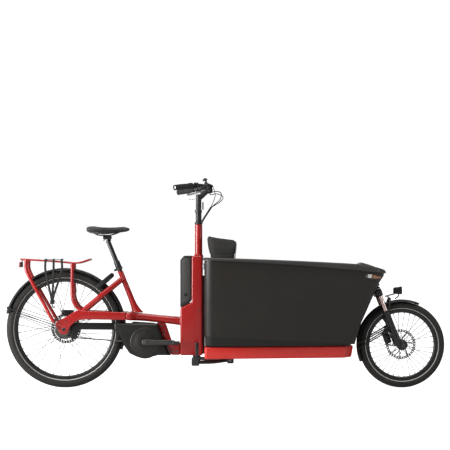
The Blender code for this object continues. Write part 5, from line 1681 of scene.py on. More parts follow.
@dataclass
class Cockpit:
    """Steerer, stem, bar, grips, levers, shifter, display, bell and hoses."""

    grip_start: Vector
    grip_end: Vector

    @property
    def outwards(self) -> Vector:
        """The left grip's direction, from the middle outwards."""
        return (self.grip_end - self.grip_start).normalized()

    def build(self) -> None:
        """Builds the cockpit's pieces."""
        self.steerer()
        self.stem()
        self.bar()
        for side in Side:
            self.controls(side)
        self.instruments()
        self.hoses()

    def steerer(self) -> None:
        """Headset cups, spacer and the clamp that holds the stem's height."""
        bm = bmesh.new()
        middle = Vector((STEER_X, 0, 0))
        spun(bm, mm((12.5, 1072), (19, 1072), (20, 1071), (20, 1053), (19, 1052), (17.6, 1051.5), (17.5, 1000),
            (18.2, 997.5), (23.6, 995), (24, 993), (24, 984.5), (23.2, 982.6), (16, 982.6), (16, 640), (12.5, 640)),
            middle, UPWARD, 44, closed=True)
        finished(bm, "steerer_turned", "steerer", BLACK, ["steerer"], 30)
        bm = bmesh.new()
        for z in (1.056, 1.068):
            cone(bm, Vector((STEER_X - 0.0215, -0.01, z)), Vector((STEER_X - 0.0215, 0.01, z)), 0.0026, sides=14)
        finished(bm, "steerer_clamp_bolts", "steerer", BOLT)

    def stem(self) -> None:
        """The quill, its sleeve, the arm and the bar clamp with four bolts."""
        bm = bmesh.new()
        middle = Vector((STEER_X, 0, 0))
        spun(bm, mm((0, 1164), (12, 1164), (16.8, 1160), (16.8, 1076), (16, 1073.6), (12.1, 1073.6), (12.1, 901),
            (0, 900)), middle, UPWARD, 40)
        rod(bm, flow([(STEER_X, 0, 1.138), (-0.138, 0, 1.156), (-0.116, 0, 1.176), (-0.099, 0, 1.189)], 6),
            [0.0165 - 0.0001 * k for k in range(19)], 28)
        clamp = BAR - ACROSS * 0.024
        spun(bm, mm((11.3, 0), (20.5, 0), (22.2, 2), (22.2, 46), (20.5, 48), (11.3, 48)), clamp,
            ACROSS, 36, closed=True)
        finished(bm, "stem_forged", "bar", BLACK, ["stem"], 40)
        bm = bmesh.new()
        for y in (-0.016, 0.016):
            for up in (-1, 1):
                spot = BAR + Vector((0.014, y, 0.0135 * up))
                bolt(bm, spot, Vector((1, 0, up * 0.5)), 0.0034, 0.006)
        finished(bm, "stem_bolts", "bar", BOLT)
        bm = refined("stem_lever", 0.0)
        bevelled(bm, 0.0012, 2, 40)
        finished(bm, "height_lever_blade", "height_lever", BLACK, ["stem_lever"], 40)

    def bar(self) -> None:
        """The swept bar, drawn from one smooth line."""
        half = [BAR, Vector((-0.0965, 0.045, 1.19)), Vector((-0.1, 0.1, 1.196)), Vector((-0.118, 0.155, 1.204)),
            Vector((-0.148, 0.2, 1.2065)), self.grip_start, self.grip_start.lerp(self.grip_end, 0.97)]
        bm = bmesh.new()
        rod(bm, flow([sided(p, Side.RIGHT) for p in half[:0:-1]] + half, 8), 0.0111, 28)
        finished(bm, "handlebar_swept", "bar", BLACK, ["handlebar"], 50)

    def controls(self, side: Side) -> None:
        """One side's grip, brake body and lever, and the shifter on the right."""
        label = side.name.lower()
        out = self.outwards
        start = self.grip_start + out * (0.034 if side is Side.RIGHT else 0.004)
        length = (self.grip_end - start).length
        profile = [(0.0117, 0.0), (0.016, 0.0), (0.0165, -0.0016), (0.0165, -0.004), (0.0152, -0.006)]
        ribs = 22
        for k in range(ribs):
            t = 0.07 + 0.82 * k / ribs
            swell = 0.0148 + 0.0014 * sin(pi * t)
            profile += [(swell, -length * t), (swell + 0.0007, -length * (t + 0.008)),
                (swell + 0.0007, -length * (t + 0.024)), (swell, -length * (t + 0.032))]
        profile += [(0.015, -length * 0.93), (0.0166, -length * 0.96), (0.017, -length * 0.985),
            (0.016, -length), (0.0117, -length)]
        bm = bmesh.new()
        spun(bm, profile, sided(start, side), sided(-out, side), 32, closed=True)
        finished(bm, f"grip_{label}_ribbed", "bar", RUBBER, [f"grip_{label}"], 50)
        bm = bmesh.new()
        end = sided(self.grip_start.lerp(self.grip_end, 0.985), side)
        spun(bm, mm((0, 2.2), (9, 2), (11.2, 0.6), (11.2, 0), (0, 0)), end - sided(out, side) * 0.0012,
            sided(out, side), 28)
        finished(bm, f"bar_plug_{label}", "bar", ALLOY)
        mid = self.grip_start - out * 0.022
        bm = bmesh.new()
        spun(bm, mm((11.3, 9), (16.5, 9), (17.5, 8), (17.5, -8), (16.5, -9), (11.3, -9)), sided(mid, side),
            sided(out, side), 32, closed=True)
        reach = mid + Vector((0.026, 0.012, -0.016))
        rod(bm, flow([sided(reach + Vector(p), side) for p in mm((36, -30, 2), (22, -16, 1), (8, -3, -2),
            (-4, 10, -4))], 5), [0.005, 0.0078, 0.0092, *[0.0096] * 9, 0.0094, 0.0088, 0.007, 0.005], 20)
        rod(bm, [sided(mid + Vector((0.004, 0.0, -0.01)), side),
            sided(mid + Vector((0.02, 0.006, -0.016)), side)], 0.0078, 16)
        rod(bm, [sided(reach + Vector((-0.002, 0.006, -0.004)), side),
            sided(reach + Vector((-0.006, 0.016, -0.016)), side)], 0.0052, 14)
        finished(bm, f"brake_housing_{label}", "bar", GLOSS_BLACK, [f"brake_body_{label}"], 45)
        bm = bmesh.new()
        bolt(bm, sided(mid + Vector((-0.006, 0.004, 0.015)), side), UPWARD, 0.003, 0.0028)
        bolt(bm, sided(reach + Vector((0.01, -0.006, 0.007)), side), UPWARD, 0.0026, 0.0022)
        finished(bm, f"brake_housing_bolts_{label}", "bar", BOLT)
        self.lever(side, reach + Vector((-0.008, 0.02, -0.0245)))
        if side is Side.RIGHT:
            self.shifter()

    def lever(self, side: Side, pivot: Vector) -> None:
        """A forged brake blade, hooked at its tip."""
        label = side.name.lower()
        line = [pivot + Vector(p) for p in mm((13, -17, 4), (4, -6, 1), (-12, 10, -4), (-30, 26, -11),
            (-52, 44, -16), (-72, 60, -17))]
        path = flow([sided(p, side) for p in line], 5)
        bm = bmesh.new()
        radii = [float(np.interp(k / (len(path) - 1), (0, 0.12, 0.4, 0.75, 0.95, 1.0),
            (0.0042, 0.0058, 0.0048, 0.0056, 0.0078, 0.0052))) for k in range(len(path))]
        rod(bm, path, radii, 18, flat=0.45, upright=sided(Vector((0.62, 0.62, 0.2)), side))
        finished(bm, f"brake_blade_{label}", f"brake_lever_{label}", ALLOY, [f"brake_lever_{label}"], 60)

    def shifter(self) -> None:
        """The ribbed twist shifter inside the right grip."""
        base = sided(self.grip_start + self.outwards * 0.0065, Side.RIGHT)
        axis = sided(-self.outwards, Side.RIGHT)
        profile = [(0.0117, 0.0), (0.0178, 0.0), (0.0186, -0.0014), (0.0186, -0.005)]
        for k in range(6):
            profile += [(0.0172, -0.006 - 0.003 * k), (0.018, -0.0068 - 0.003 * k), (0.018, -0.0082 - 0.003 * k)]
        profile += [(0.0172, -0.0255), (0.0117, -0.026)]
        bm = bmesh.new()
        spun(bm, profile, base, axis, 36, closed=True)
        finished(bm, "twist_shifter_ribbed", "shifter", GripRubber(knurl=420.0), ["twist_shifter"], 50)

    def instruments(self) -> None:
        """The display on its clamp, and the bell with its striker."""
        bm = bmesh.new()
        tilt = tilted(22)
        box(bm, (-0.098, 0, 1.221), (0.057, 0.085, 0.0105), 0.0042, tilt, 4)
        box(bm, (-0.0975, -0.03, 1.206), (0.018, 0.01, 0.018), 0.003, tilt)
        box(bm, (-0.0975, 0.03, 1.206), (0.018, 0.01, 0.018), 0.003, tilt)
        for y in (-0.03, 0.03):
            spun(bm, mm((11.3, 0), (14.5, 0), (14.5, 10), (11.3, 10)), Vector((BAR.x, y - 0.005, BAR.z)),
                ACROSS, 28, closed=True)
        finished(bm, "display_case", "bar", FITTING, ["display"])
        bm = bmesh.new()
        box(bm, (-0.0962, 0, 1.2263), (0.045, 0.071, 0.0014), 0.0005, tilt)
        finished(bm, "display_window", "bar", DarkGlass())
        bm = bmesh.new()
        lean = Vector((-0.3, 0, 1))
        spun(bm, mm((0, 16.5), (4.5, 16), (9, 14.2), (12.5, 10.8), (14.6, 6), (15.2, 1), (14.6, 0), (0, 0)),
            Vector((-0.118, -0.1, 1.24)), lean, 36)
        cone(bm, Vector((-0.101, -0.1, 1.207)), Vector((-0.116, -0.1, 1.242)), 0.0052, sides=20)
        spun(bm, mm((11.3, 0), (14.8, 0), (14.8, 11), (11.3, 11)), Vector((-0.1003, -0.1055, 1.196)),
            Vector((-0.05, 1, -0.12)), 28, closed=True)
        finished(bm, "bell_dome", "bar", GLOSS_BLACK, ["bell"], 45)

    def hoses(self) -> None:
        """Brake hoses and the display's wire, gathered into one sleeve that enters the head tube."""
        gather = (-0.083, -0.015, 1.086)
        bm = bmesh.new()
        rod(bm, flow([gather, (-0.102, -0.019, 1.056), (-0.1265, -0.021, 1.018),
            (-0.1425, -0.018, 0.99)], 8), 0.006, 18)
        rod(bm, flow(mm((-93, -152, 1176), (-87, -150, 1168), (-50, -120, 1176), (-23, -60, 1166), (-30, -18, 1132),
            (-60, -15, 1104), (-86, -15, 1083)), 7), 0.0026, 14)
        rod(bm, flow(mm((-93, 152, 1176), (-87, 150, 1168), (-48, 120, 1172), (-13, 60, 1152), (-24, 16, 1124),
            (-58, 4, 1100), (-86, -15, 1083)), 7), 0.0026, 14)
        rod(bm, flow(mm((-70, 0, 1205), (-59, 0, 1160), (-70, 0, 1120), (-86, -15, 1083)), 7), 0.0022, 12)
        cleaned(bm)
        face_out(bm)
        hoses = finished(bm, "hose_bundle", "bar", HOSE, ["control_cables"], 60, tidy=False)
        hoses.parent = None
        del hoses["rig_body"]
        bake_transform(hoses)


# ---------------------------------------------------------------- saddle
class SaddleSet:
    """Saddle on its rails, the post with its cradle, and the post's head."""

    def build(self) -> None:
        """Builds the saddle's pieces."""
        self.cover()
        self.rails()
        self.post()

    def cover(self) -> None:
        """The padded top, with a pressed channel and sewn edges."""
        stations = mm((-834, 28, 944, 962), (-827, 64, 937, 970), (-812, 74, 932, 971), (-790, 78, 929, 968),
            (-765, 76.5, 927.5, 964), (-740, 70, 927, 961), (-715, 57, 927.5, 959.5), (-690, 44, 930, 959.5),
            (-665, 33, 933.5, 960.5), (-640, 25.5, 937, 962), (-610, 20.5, 941, 963.5), (-588, 18, 944, 964),
            (-573, 12, 948, 960))
        outlines = [oval(x, (0.0, (low + high) / 2), (half, (high - low) / 2), (0.72, 0.8)) for x, half,
            low, high in stations]
        bm = bmesh.new()
        skin(bm, outlines)
        pad = Padding("saddle_cover", "seat", Leatherette(), "saddle", voxel=0.004, cap=0.005, fill=0.75)
        piece = pad.swell(bm)
        mesh = piece.data
        for v in mesh.vertices:
            if v.normal.z > 0.2 and -0.815 < v.co.x < -0.64:
                fade = sin(pi * (v.co.x + 0.815) / 0.175)
                v.co.z -= 0.005 * fade * exp(-(v.co.y / 0.0085) ** 2)
        mesh.update()
        pad.sew(piece, [(Vector((0, 0, 0.9445)), Vector((0.1, 0, 1)), 0.0016, 0.0016)])

    def rails(self) -> None:
        """Rails and their sockets."""
        bm = bmesh.new()
        for side in Side:
            bent(bm, mm((-802, 26, 940), (-790, 24, 930), (-760, 22, 917.2), (-725, 22, 916.5), (-690, 22, 917.2),
                (-650, 18, 930), (-618, 12, 944)), side, 6, 0.0035, 16)
        finished(bm, "saddle_rails", "seat", BLACK)
        bm = bmesh.new()
        for side in Side:
            box(bm, sided((-0.8, 0.026, 0.941), side), (0.022, 0.02, 0.012), 0.0035)
        box(bm, (-0.616, 0, 0.9465), (0.026, 0.03, 0.01), 0.0035)
        finished(bm, "saddle_sockets", "seat", FITTING)

    def post(self) -> None:
        """The post, its two-bolt cradle and the fixed head it slides in."""
        top = SEAT_TOP + UP_SEAT * 0.204
        bm = bmesh.new()
        spun(bm, mm((0, 204), (11, 204), (13.6, 198), (13.6, -99), (0, -100)), SEAT_TOP, UP_SEAT, 40)
        box(bm, top + Vector((-0.002, 0, 0.0065)), (0.046, 0.034, 0.01), 0.0035)
        box(bm, top + Vector((-0.002, 0, 0.019)), (0.052, 0.02, 0.009), 0.003)
        for side in Side:
            box(bm, top + Vector((-0.002, side * 0.0215, 0.014)), (0.05, 0.0115, 0.016), 0.004)
        finished(bm, "seat_post_turned", "seat", GLOSS_BLACK, ["seat_post"], 40)
        bm = bmesh.new()
        for x in (-0.022, 0.018):
            cone(bm, top + Vector((x, 0, -0.006)), top + Vector((x, 0, 0.024)), 0.0028, sides=14)
            bolt(bm, top + Vector((x, 0, -0.002)), -UPWARD, 0.0045, 0.004)
        finished(bm, "cradle_bolts", "seat", BOLT)
        bm = bmesh.new()
        spun(bm, mm((14, 27.5), (17.2, 27.5), (18, 28.5), (18, 58), (17.2, 60), (16.6, 64.5), (15.6, 66), (14, 66)),
            SEAT_TOP, UP_SEAT, 40, closed=True)
        finished(bm, "post_head_turned", "frame", BLACK, ["post_head"], 30)


# ---------------------------------------------------------------- drive
@dataclass
class Drive:
    """Motor, its cover, the chainring, cranks, pedals, chain and chain guard."""

    crank: float = 0.17
    chain_line: float = -0.052
    ring_radius: float = 0.072
    sprocket_radius: float = 0.046

    def build(self) -> None:
        """Builds the drive's pieces."""
        self.motor()
        self.guard()
        self.ring_and_sprocket()
        for side in Side:
            self.crank_arm(side)
            self.pedal(side)
        self.chain()

    def motor(self) -> None:
        """The motor's casing with fins, and its moulded cover with a turned disc."""
        bm = bmesh.new()
        slab(bm, mm((-575, 245), (-545, 214), (-530, 205), (-430, 205), (-395, 225), (-380, 240), (-384, 280),
            (-392, 315), (-425, 388), (-560, 396), (-588, 340)), 0.012, 0.092, 0.01, 4)
        for k in range(6):
            box(bm, (-0.47 - 0.0135 * k, 0.056, 0.35 - 0.003 * k), (0.0042, 0.0034, 0.058), 0.0012)
        finished(bm, "motor_casing", "frame", Moulded(colour=(0.022, 0.022, 0.023),
            roughness=0.42), ["motor_unit"], 40)
        cover = refined("motor_cover", 0.0035, 35, 3, clamp=True, flat=1.0)
        finished(cover, "motor_cover_shell", "frame", COVER, ["motor_cover"], 40)
        bm = bmesh.new()
        spun(bm, mm((16.5, -1.5), (24, -2), (26, -4), (56, -3.6), (58, -2.6), (82, -2.2), (86, -1.4), (88, 0.2),
            (88, 1), (16.5, 1)), CRANK_AXLE + ACROSS * -0.088, ACROSS, 72, closed=True)
        # Lighter than the cover: painted sheen on the turned disc.
        finished(bm, "motor_cover_disc", "frame", DISC_PAINTED_SHEEN, smooth=30)
        bm = bmesh.new()
        for x, z in mm((-640, 378), (-420, 372), (-352, 213)):
            bolt(bm, (x, -0.0876, z), -ACROSS, 0.004, 0.003)
        finished(bm, "motor_cover_screws", "frame", FITTING)
        bm = bmesh.new()
        slab(bm, mm((-430, 386), (-409.5, 388), (-374, 312), (-323.5, 198.5), (-352, 198.5), (-395, 290)),
            -0.0575, 0.04, 0.003, 3)
        finished(bm, "motor_skirt", "frame", COVER)
        bm = bmesh.new()
        for x, z in mm((-560, 378), (-440, 372), (-400, 240), (-545, 228)):
            bolt(bm, (x, 0.0576, z), ACROSS, 0.0048, 0.004)
        finished(bm, "motor_bolts", "frame", BOLT)

    def guard(self) -> None:
        """The chain guard: a thin moulded blade over the sprocket."""
        bm = bmesh.new()
        slab(bm, mm((-662.5, 392.5), (-885, 393.5), (-900, 389), (-912, 380), (-922, 368), (-927, 355), (-928, 330),
            (-925, 305), (-920, 296), (-908, 292), (-896, 299), (-886, 312), (-880, 327), (-874, 340), (-867, 347.5),
            (-858, 351.5), (-662.5, 350)), -0.0605, 0.003, 0.001, 2)
        finished(bm, "chain_guard_blade", "frame", COVER, ["chain_case"], 40)

    def toothed(self, bm: BMesh, centre: Vector, radius: float, teeth: int, inner: float,
            thickness: float = 0.0026) -> None:
        """A toothed ring, from a flat annulus whose outer edge is drawn out in teeth."""
        start = set(bm.verts)
        spun(bm, [(inner, 0.0), (radius - 0.0048, 0.0), (radius - 0.0018, 0.0)],
            centre - ACROSS * (thickness / 2), ACROSS, teeth * 4)
        fresh = [v for v in bm.verts if v not in start]
        cleaned(bm, fresh, RING_WELD)
        fresh = [v for v in bm.verts if v not in start]
        for v in fresh:
            arm = v.co - centre
            flat = hypot(arm.x, arm.z)
            if flat > radius - 0.003:
                step = round(atan2(arm.z, arm.x) / tau * teeth * 4) % 4
                grow = (radius + (0.003, 0.0006, -0.003, 0.0006)[step]) / flat
                v.co = Vector((centre.x + arm.x * grow, v.co.y, centre.z + arm.z * grow))
        faces = list({f for v in fresh for f in v.link_faces})
        face_out(bm, faces)
        bmesh.ops.solidify(bm, geom=faces, thickness=thickness)

    def ring_and_sprocket(self) -> None:
        """The chainring on its spider, and the rear sprocket."""
        line = ACROSS * self.chain_line
        bm = bmesh.new()
        self.toothed(bm, CRANK_AXLE + line, self.ring_radius - 0.0055, 36, 0.056)
        for k in range(5):
            angle = tau * k / 5
            box(bm, CRANK_AXLE + line + toward(angle) * 0.036, (0.05, 0.005, 0.011), 0.002,
                Matrix.Rotation(-angle, 4, "Y"))
        spun(bm, mm((0, 3), (18, 3), (20, 2), (20, -2), (18, -3), (0, -3)), CRANK_AXLE + line, ACROSS, 36)
        finished(bm, "chainring_toothed", "cranks", GLOSS_BLACK)
        bm = bmesh.new()
        self.toothed(bm, REAR_AXLE + line, self.sprocket_radius - 0.0055, 24, 0.018)
        spun(bm, mm((12.5, 4), (19, 4), (20, 3), (20, -3), (19, -4), (12.5, -4)), REAR_AXLE + line,
            ACROSS, 32, closed=True)
        finished(bm, "rear_sprocket_toothed", "rear_wheel", OiledChain())

    def crank_arm(self, side: Side) -> None:
        """A forged arm with rounded bosses, its bolt and the pedal's axle."""
        ahead = 1 if side is Side.RIGHT else -1
        face = side * 0.104
        outlines = []
        for share, high, thick in ((-0.1, 0.006, 0.005), (-0.09, 0.013, 0.0078), (-0.06, 0.0172, 0.0088),
                (0.0, 0.019, 0.009), (0.05, 0.0184, 0.0088), (0.15, 0.0168, 0.0078), (0.35, 0.0154, 0.007),
                (0.65, 0.0145, 0.0068), (0.9, 0.0142, 0.007), (0.98, 0.0144, 0.007), (1.03, 0.0132, 0.0068),
                (1.065, 0.009, 0.0062), (1.075, 0.005, 0.005)):
            x = CRANK_AXLE.x + ahead * self.crank * share
            outlines.append(oval(x, (face, CRANK_AXLE.z), (thick, high), (0.55, 0.75)))
        bm = bmesh.new()
        skin(bm, outlines)
        inner = 0.0505 if side is Side.RIGHT else 0.0595
        cone(bm, CRANK_AXLE + ACROSS * side * inner, CRANK_AXLE + ACROSS * side * 0.098, 0.0124, sides=32)
        label = side.name.lower()
        finished(bm, f"crank_{label}_forged", "cranks", CRANK, [f"crank_{label}"], 50)
        bm = bmesh.new()
        outer = CRANK_AXLE + Vector((ahead * self.crank, 0, 0))
        spun(bm, mm((0, 0.6), (4, 0.6), (5.2, 2.4), (9, 2.4), (10, 1), (10, -2), (0, -2)),
            CRANK_AXLE + ACROSS * (face + side * 0.009), ACROSS * side, 32)
        cone(bm, outer + ACROSS * (face - side * 0.004), outer + ACROSS * (face + side * 0.095), 0.005, sides=24)
        cone(bm, outer + ACROSS * (face + side * 0.0064), outer + ACROSS * (face + side * 0.012), 0.0085, sides=6)
        finished(bm, f"crank_{label}_axle", "cranks", BOLT)

    def pedal(self, side: Side) -> None:
        """An open cage with grip bars, a core round the axle, and reflectors."""
        ahead = 1 if side is Side.RIGHT else -1
        middle = CRANK_AXLE + Vector((ahead * self.crank, side * 0.158, 0))
        label = side.name.lower()
        body = f"pedal_{label}"
        bm = bmesh.new()
        for x in (-0.034, 0.034):
            box(bm, middle + Vector((x, 0, 0)), (0.0095, 0.074, 0.0205), 0.0028)
        for y in (-0.034, 0.034):
            box(bm, middle + Vector((0, y, 0)), (0.066, 0.008, 0.018), 0.0025)
        spun(bm, mm((6.1, -33), (10, -33), (11, -30), (9.8, 0), (11, 30), (10, 33), (6.1, 33)), middle,
            ACROSS, 28, closed=True)
        for y in (-0.017, 0.0, 0.017):
            for x in (-0.02, 0.02):
                box(bm, middle + Vector((x, y, 0)), (0.027, 0.006, 0.014), 0.0018)
        finished(bm, f"pedal_{label}_cage", body, RUBBER, [f"pedal_{label}"])
        bm = bmesh.new()
        for x in (-1, 1):
            box(bm, middle + Vector((x * 0.0384, 0, 0)), (0.0012, 0.05, 0.0115), 0.0004)
        finished(bm, f"pedal_{label}_reflectors", body, Lens(colour=(0.7, 0.33, 0.04), metallic=0.0))

    def chain(self) -> None:
        """The chain: rollers and pairs of plates, link by link, round ring and sprocket."""
        axle, hub = (CRANK_AXLE.x, CRANK_AXLE.z), (REAR_AXLE.x, REAR_AXLE.z)
        loop = (arc(hub, self.sprocket_radius, 94, 262, 30) + arc((-0.615, 0.268), 0.0145, 98, 62, 6) + arc(axle,
            self.ring_radius, -134, 94, 40))
        points = [Vector((x, self.chain_line, z)) for x, z in loop]
        points.append(points[0])
        lengths = np.cumsum([0.0] + [(b - a).length for a, b in zip(points, points[1:])])
        count = 2 * round(lengths[-1] / 0.0127 / 2)
        spots = []
        for k in range(count):
            reach = lengths[-1] * k / count
            spots.append(Vector([float(np.interp(reach, lengths, [p[i] for p in points])) for i in range(3)]))
        bm = bmesh.new()
        for k, (a, b) in enumerate(zip(spots, spots[1:] + spots[:1])):
            wide = 0.0035 if k % 2 else 0.0026
            lean = atan2(b.z - a.z, b.x - a.x)
            for side in Side:
                box(bm, (a + b) / 2 + ACROSS * side * wide, ((b - a).length + 0.0062, 0.0009, 0.0074), 0.0,
                    Matrix.Rotation(-lean, 4, "Y"))
            cone(bm, a - ACROSS * 0.0039, a + ACROSS * 0.0039, 0.0019, sides=6)
            cone(bm, a - ACROSS * 0.0021, a + ACROSS * 0.0021, 0.0037, sides=8)
        finished(bm, "chain_links", "frame", OiledChain(), ["chain"], 30, tidy=False)


# ---------------------------------------------------------------- rack, lamp, lock, brake and stand
@dataclass
class Rack:
    """The carrier over the rear wheel, its straps and the tail lamp."""

    tube: float = 0.0104

    def build(self) -> None:
        """Builds the rack's pieces."""
        bm = bmesh.new()
        for side in Side:
            bent(bm, mm((-1190, 59, 770), (-1190, 64, 715), (-1164, 72, 655), (-1090, 84, 522), (-1019, 102.5, 395)),
                side, 6, self.tube, 24)
            bent(bm, mm((-914, 60, 748), (-915, 64, 640), (-912, 74, 545), (-895, 78.5, 500), (-878, 77, 481),
                (-862, 77, 470)), side, 6, self.tube, 24)
            bent(bm, mm((-1225, 50, 772), (-1120, 62, 766), (-1000, 62, 758), (-890, 60, 750), (-808, 45, 772)),
                side, 6, 0.0054, 18)
        for x, z, half in mm((-1222, 771.8, 52), (-1110, 765.5, 64), (-1000, 758, 64),
                (-895, 750.5, 64), (-810, 771.5, 47)):
            rod(bm, [Vector((x, half * t, z)) for t in (-1, -0.5, 0, 0.5, 1)], 0.0049, 16)
        finished(bm, "rack_tubes", "frame", RED, ["rear_rack"], 50)
        bm = bmesh.new()
        for side in Side:
            bolt(bm, sided((-1.0195, 0.1135, 0.3985), side), ACROSS * side, 0.0042, 0.0032)
            bolt(bm, sided((-0.887, 0.0885, 0.4955), side), ACROSS * side, 0.0042, 0.003)
        finished(bm, "rack_bolts", "frame", BOLT)
        self.straps()
        self.tail_lamp()

    def straps(self) -> None:
        """Three elastic straps that run from the deck down to one hook."""
        bm = bmesh.new()
        for x, middle in mm((-1072, -1044), (-1024, -1028), (-976, -1014)):
            rod(bm, flow([(x, -0.045, 0.7738), (x, -0.068, 0.773), (x, -0.0765, 0.765), (x, -0.0785, 0.7),
                (middle, -0.09, 0.58), (-1.03, -0.0985, 0.52)], 7), 0.0068, 12, flat=0.26,
                upright=Vector((0, 1, 0.22)))
        for y in (-0.076, -0.035, 0.006):
            rod(bm, [Vector((-1.0765 + 0.105 * t, y, 0.7716)) for t in (0, 0.25, 0.5, 0.75, 1.0)], 0.006, 12,
                flat=0.3, upright=UPWARD)
        finished(bm, "rack_straps", "frame", Strapping(), ["rack_strap"], 60)
        bm = bmesh.new()
        box(bm, (-1.029, -0.0985, 0.518), (0.026, 0.012, 0.026), 0.003)
        rod(bm, flow(mm((-1029, -98.5, 510), (-1029, -100, 494), (-1021, -98.5, 486),
            (-1012, -98.5, 490)), 6), 0.0034, 14)
        finished(bm, "strap_hook", "frame", FITTING)

    def tail_lamp(self) -> None:
        """The tail lamp: a black back, a red ribbed lens and its mount."""
        bm = bmesh.new()
        box(bm, (-1.2258, 0, 0.74), (0.006, 0.084, 0.03), 0.0022)
        box(bm, (-1.2225, 0, 0.76), (0.004, 0.018, 0.016), 0.001)
        finished(bm, "tail_lamp_back", "frame", FITTING)
        bm = bmesh.new()
        box(bm, (-1.2326, 0, 0.74), (0.0088, 0.086, 0.032), 0.0036, segments=4)
        finished(bm, "tail_lamp_lens", "frame", RedLens(), ["tail_light"])


class LockAndBrake:
    """The horseshoe lock over the wheel, and the rear caliper."""

    def build(self) -> None:
        """Builds the lock and the caliper."""
        bm = refined("frame_lock", 0.0042, 40, 4, clamp=True, flat=1.0)
        finished(bm, "wheel_lock_case", "frame", FITTING, ["frame_lock"], 40)
        lean = tilted(-41)
        bm = bmesh.new()
        outward = lean.to_3x3() @ AHEAD
        spot = Vector((-0.737, 0, 0.628)) + outward * 0.07
        box(bm, spot + outward * 0.01, (0.012, 0.022, 0.016), 0.003, lean)
        cone(bm, spot + Vector((0, -0.052, 0)) - outward * 0.03,
            spot + Vector((0, -0.059, 0)) - outward * 0.026, 0.0062, sides=24)
        finished(bm, "wheel_lock_key", "frame", BOLT)
        finished(refined("rear_caliper", 0.0012, 25, 2), "rear_caliper_body", "frame", GLOSS_BLACK,
            ["rear_caliper"], 30)
        bm = bmesh.new()
        for x in (-0.978, -0.932):
            bolt(bm, (x, 0.0618, 0.452), ACROSS, 0.0046, 0.003)
            bolt(bm, (x, 0.0312, 0.452), -ACROSS, 0.0046, 0.003)
        finished(bm, "rear_caliper_bolts", "frame", BOLT)


@dataclass
class Kickstand:
    """The two-legged stand, its feet and the lever that it is kicked by."""

    pivot: Vector
    foot_x: float = -0.174

    def build(self) -> None:
        """Builds the stand's pieces."""
        bm = bmesh.new()
        for side in Side:
            bent(bm, ((self.pivot.x, 0.07, self.pivot.z), (self.pivot.x - 0.04, 0.07, 0.166), (-0.07, 0.12, 0.162),
                (self.foot_x, 0.176, 0.164)), side, 7, 0.0109, 24)
        cone(bm, self.pivot - ACROSS * 0.0808, self.pivot + ACROSS * 0.0808, 0.0119, sides=32)
        box(bm, (-0.166, -0.187, 0.236), (0.019, 0.01, 0.088), 0.0035)
        box(bm, (-0.166, -0.187, 0.272), (0.02, 0.025, 0.018), 0.005)
        finished(bm, "stand_frame", "stand", BLACK, ["kickstand"], 45)
        bm = bmesh.new()
        for side in Side:
            spot = sided((self.foot_x, 0.18, 0.169), side)
            box(bm, spot, (0.046, 0.045, 0.05), 0.007, segments=4)
            for k in range(3):
                box(bm, spot + Vector((-0.0226, 0, -0.014 + 0.012 * k)), (0.004, 0.038, 0.005), 0.0014)
        finished(bm, "stand_feet", "stand", GripRubber(knurl=180.0))
        bm = bmesh.new()
        for side in Side:
            spun(bm, mm((0, 3), (6, 3), (10, 2), (11, 0), (0, 0)),
                self.pivot + ACROSS * side * 0.0944, ACROSS * side, 24)
        finished(bm, "stand_pivot_caps", "frame", BOLT)
        bm = bmesh.new()
        for side in Side:
            box(bm, self.pivot + Vector((0.003, side * 0.0886, -0.003)), (0.039, 0.0146, 0.033), 0.004)
        finished(bm, "stand_brackets", "frame", BLACK)
        bm = bmesh.new()
        box(bm, (-0.13175, 0.0, 0.44), (0.0195, 0.09, 0.47), 0.004)
        finished(bm, "box_mount_rail", "frame", BLACK)


# ---------------------------------------------------------------- what stays as it is, and the studio
def dress_remaining() -> None:
    """Gives every CAD node its finish, shown or not, by its material slot in the record."""
    plain = {Slot.RED: RED, Slot.BLACK: BLACK, Slot.PLASTIC: CASING, Slot.RUBBER: RUBBER, Slot.TYRE: RUBBER,
        Slot.STEEL: STEEL, Slot.ALLOY: ALLOY, Slot.FABRIC: Weave(), Slot.RED_LENS: RedLens(),
        Slot.WEBBING: Strapping()}
    by_value = {slot.value: finish for slot, finish in plain.items()}
    for entry in frame["record"]["materials"]:
        for name in entry.get("nodes", []):
            node = frame["nodes"].get(name)
            if node is not None:
                finish = by_value.get(entry["slot"], CASING)
                node.data.materials.clear()
                node.data.materials.append(finish.material())
                log.info("node %s in %s", name, type(finish).__name__)


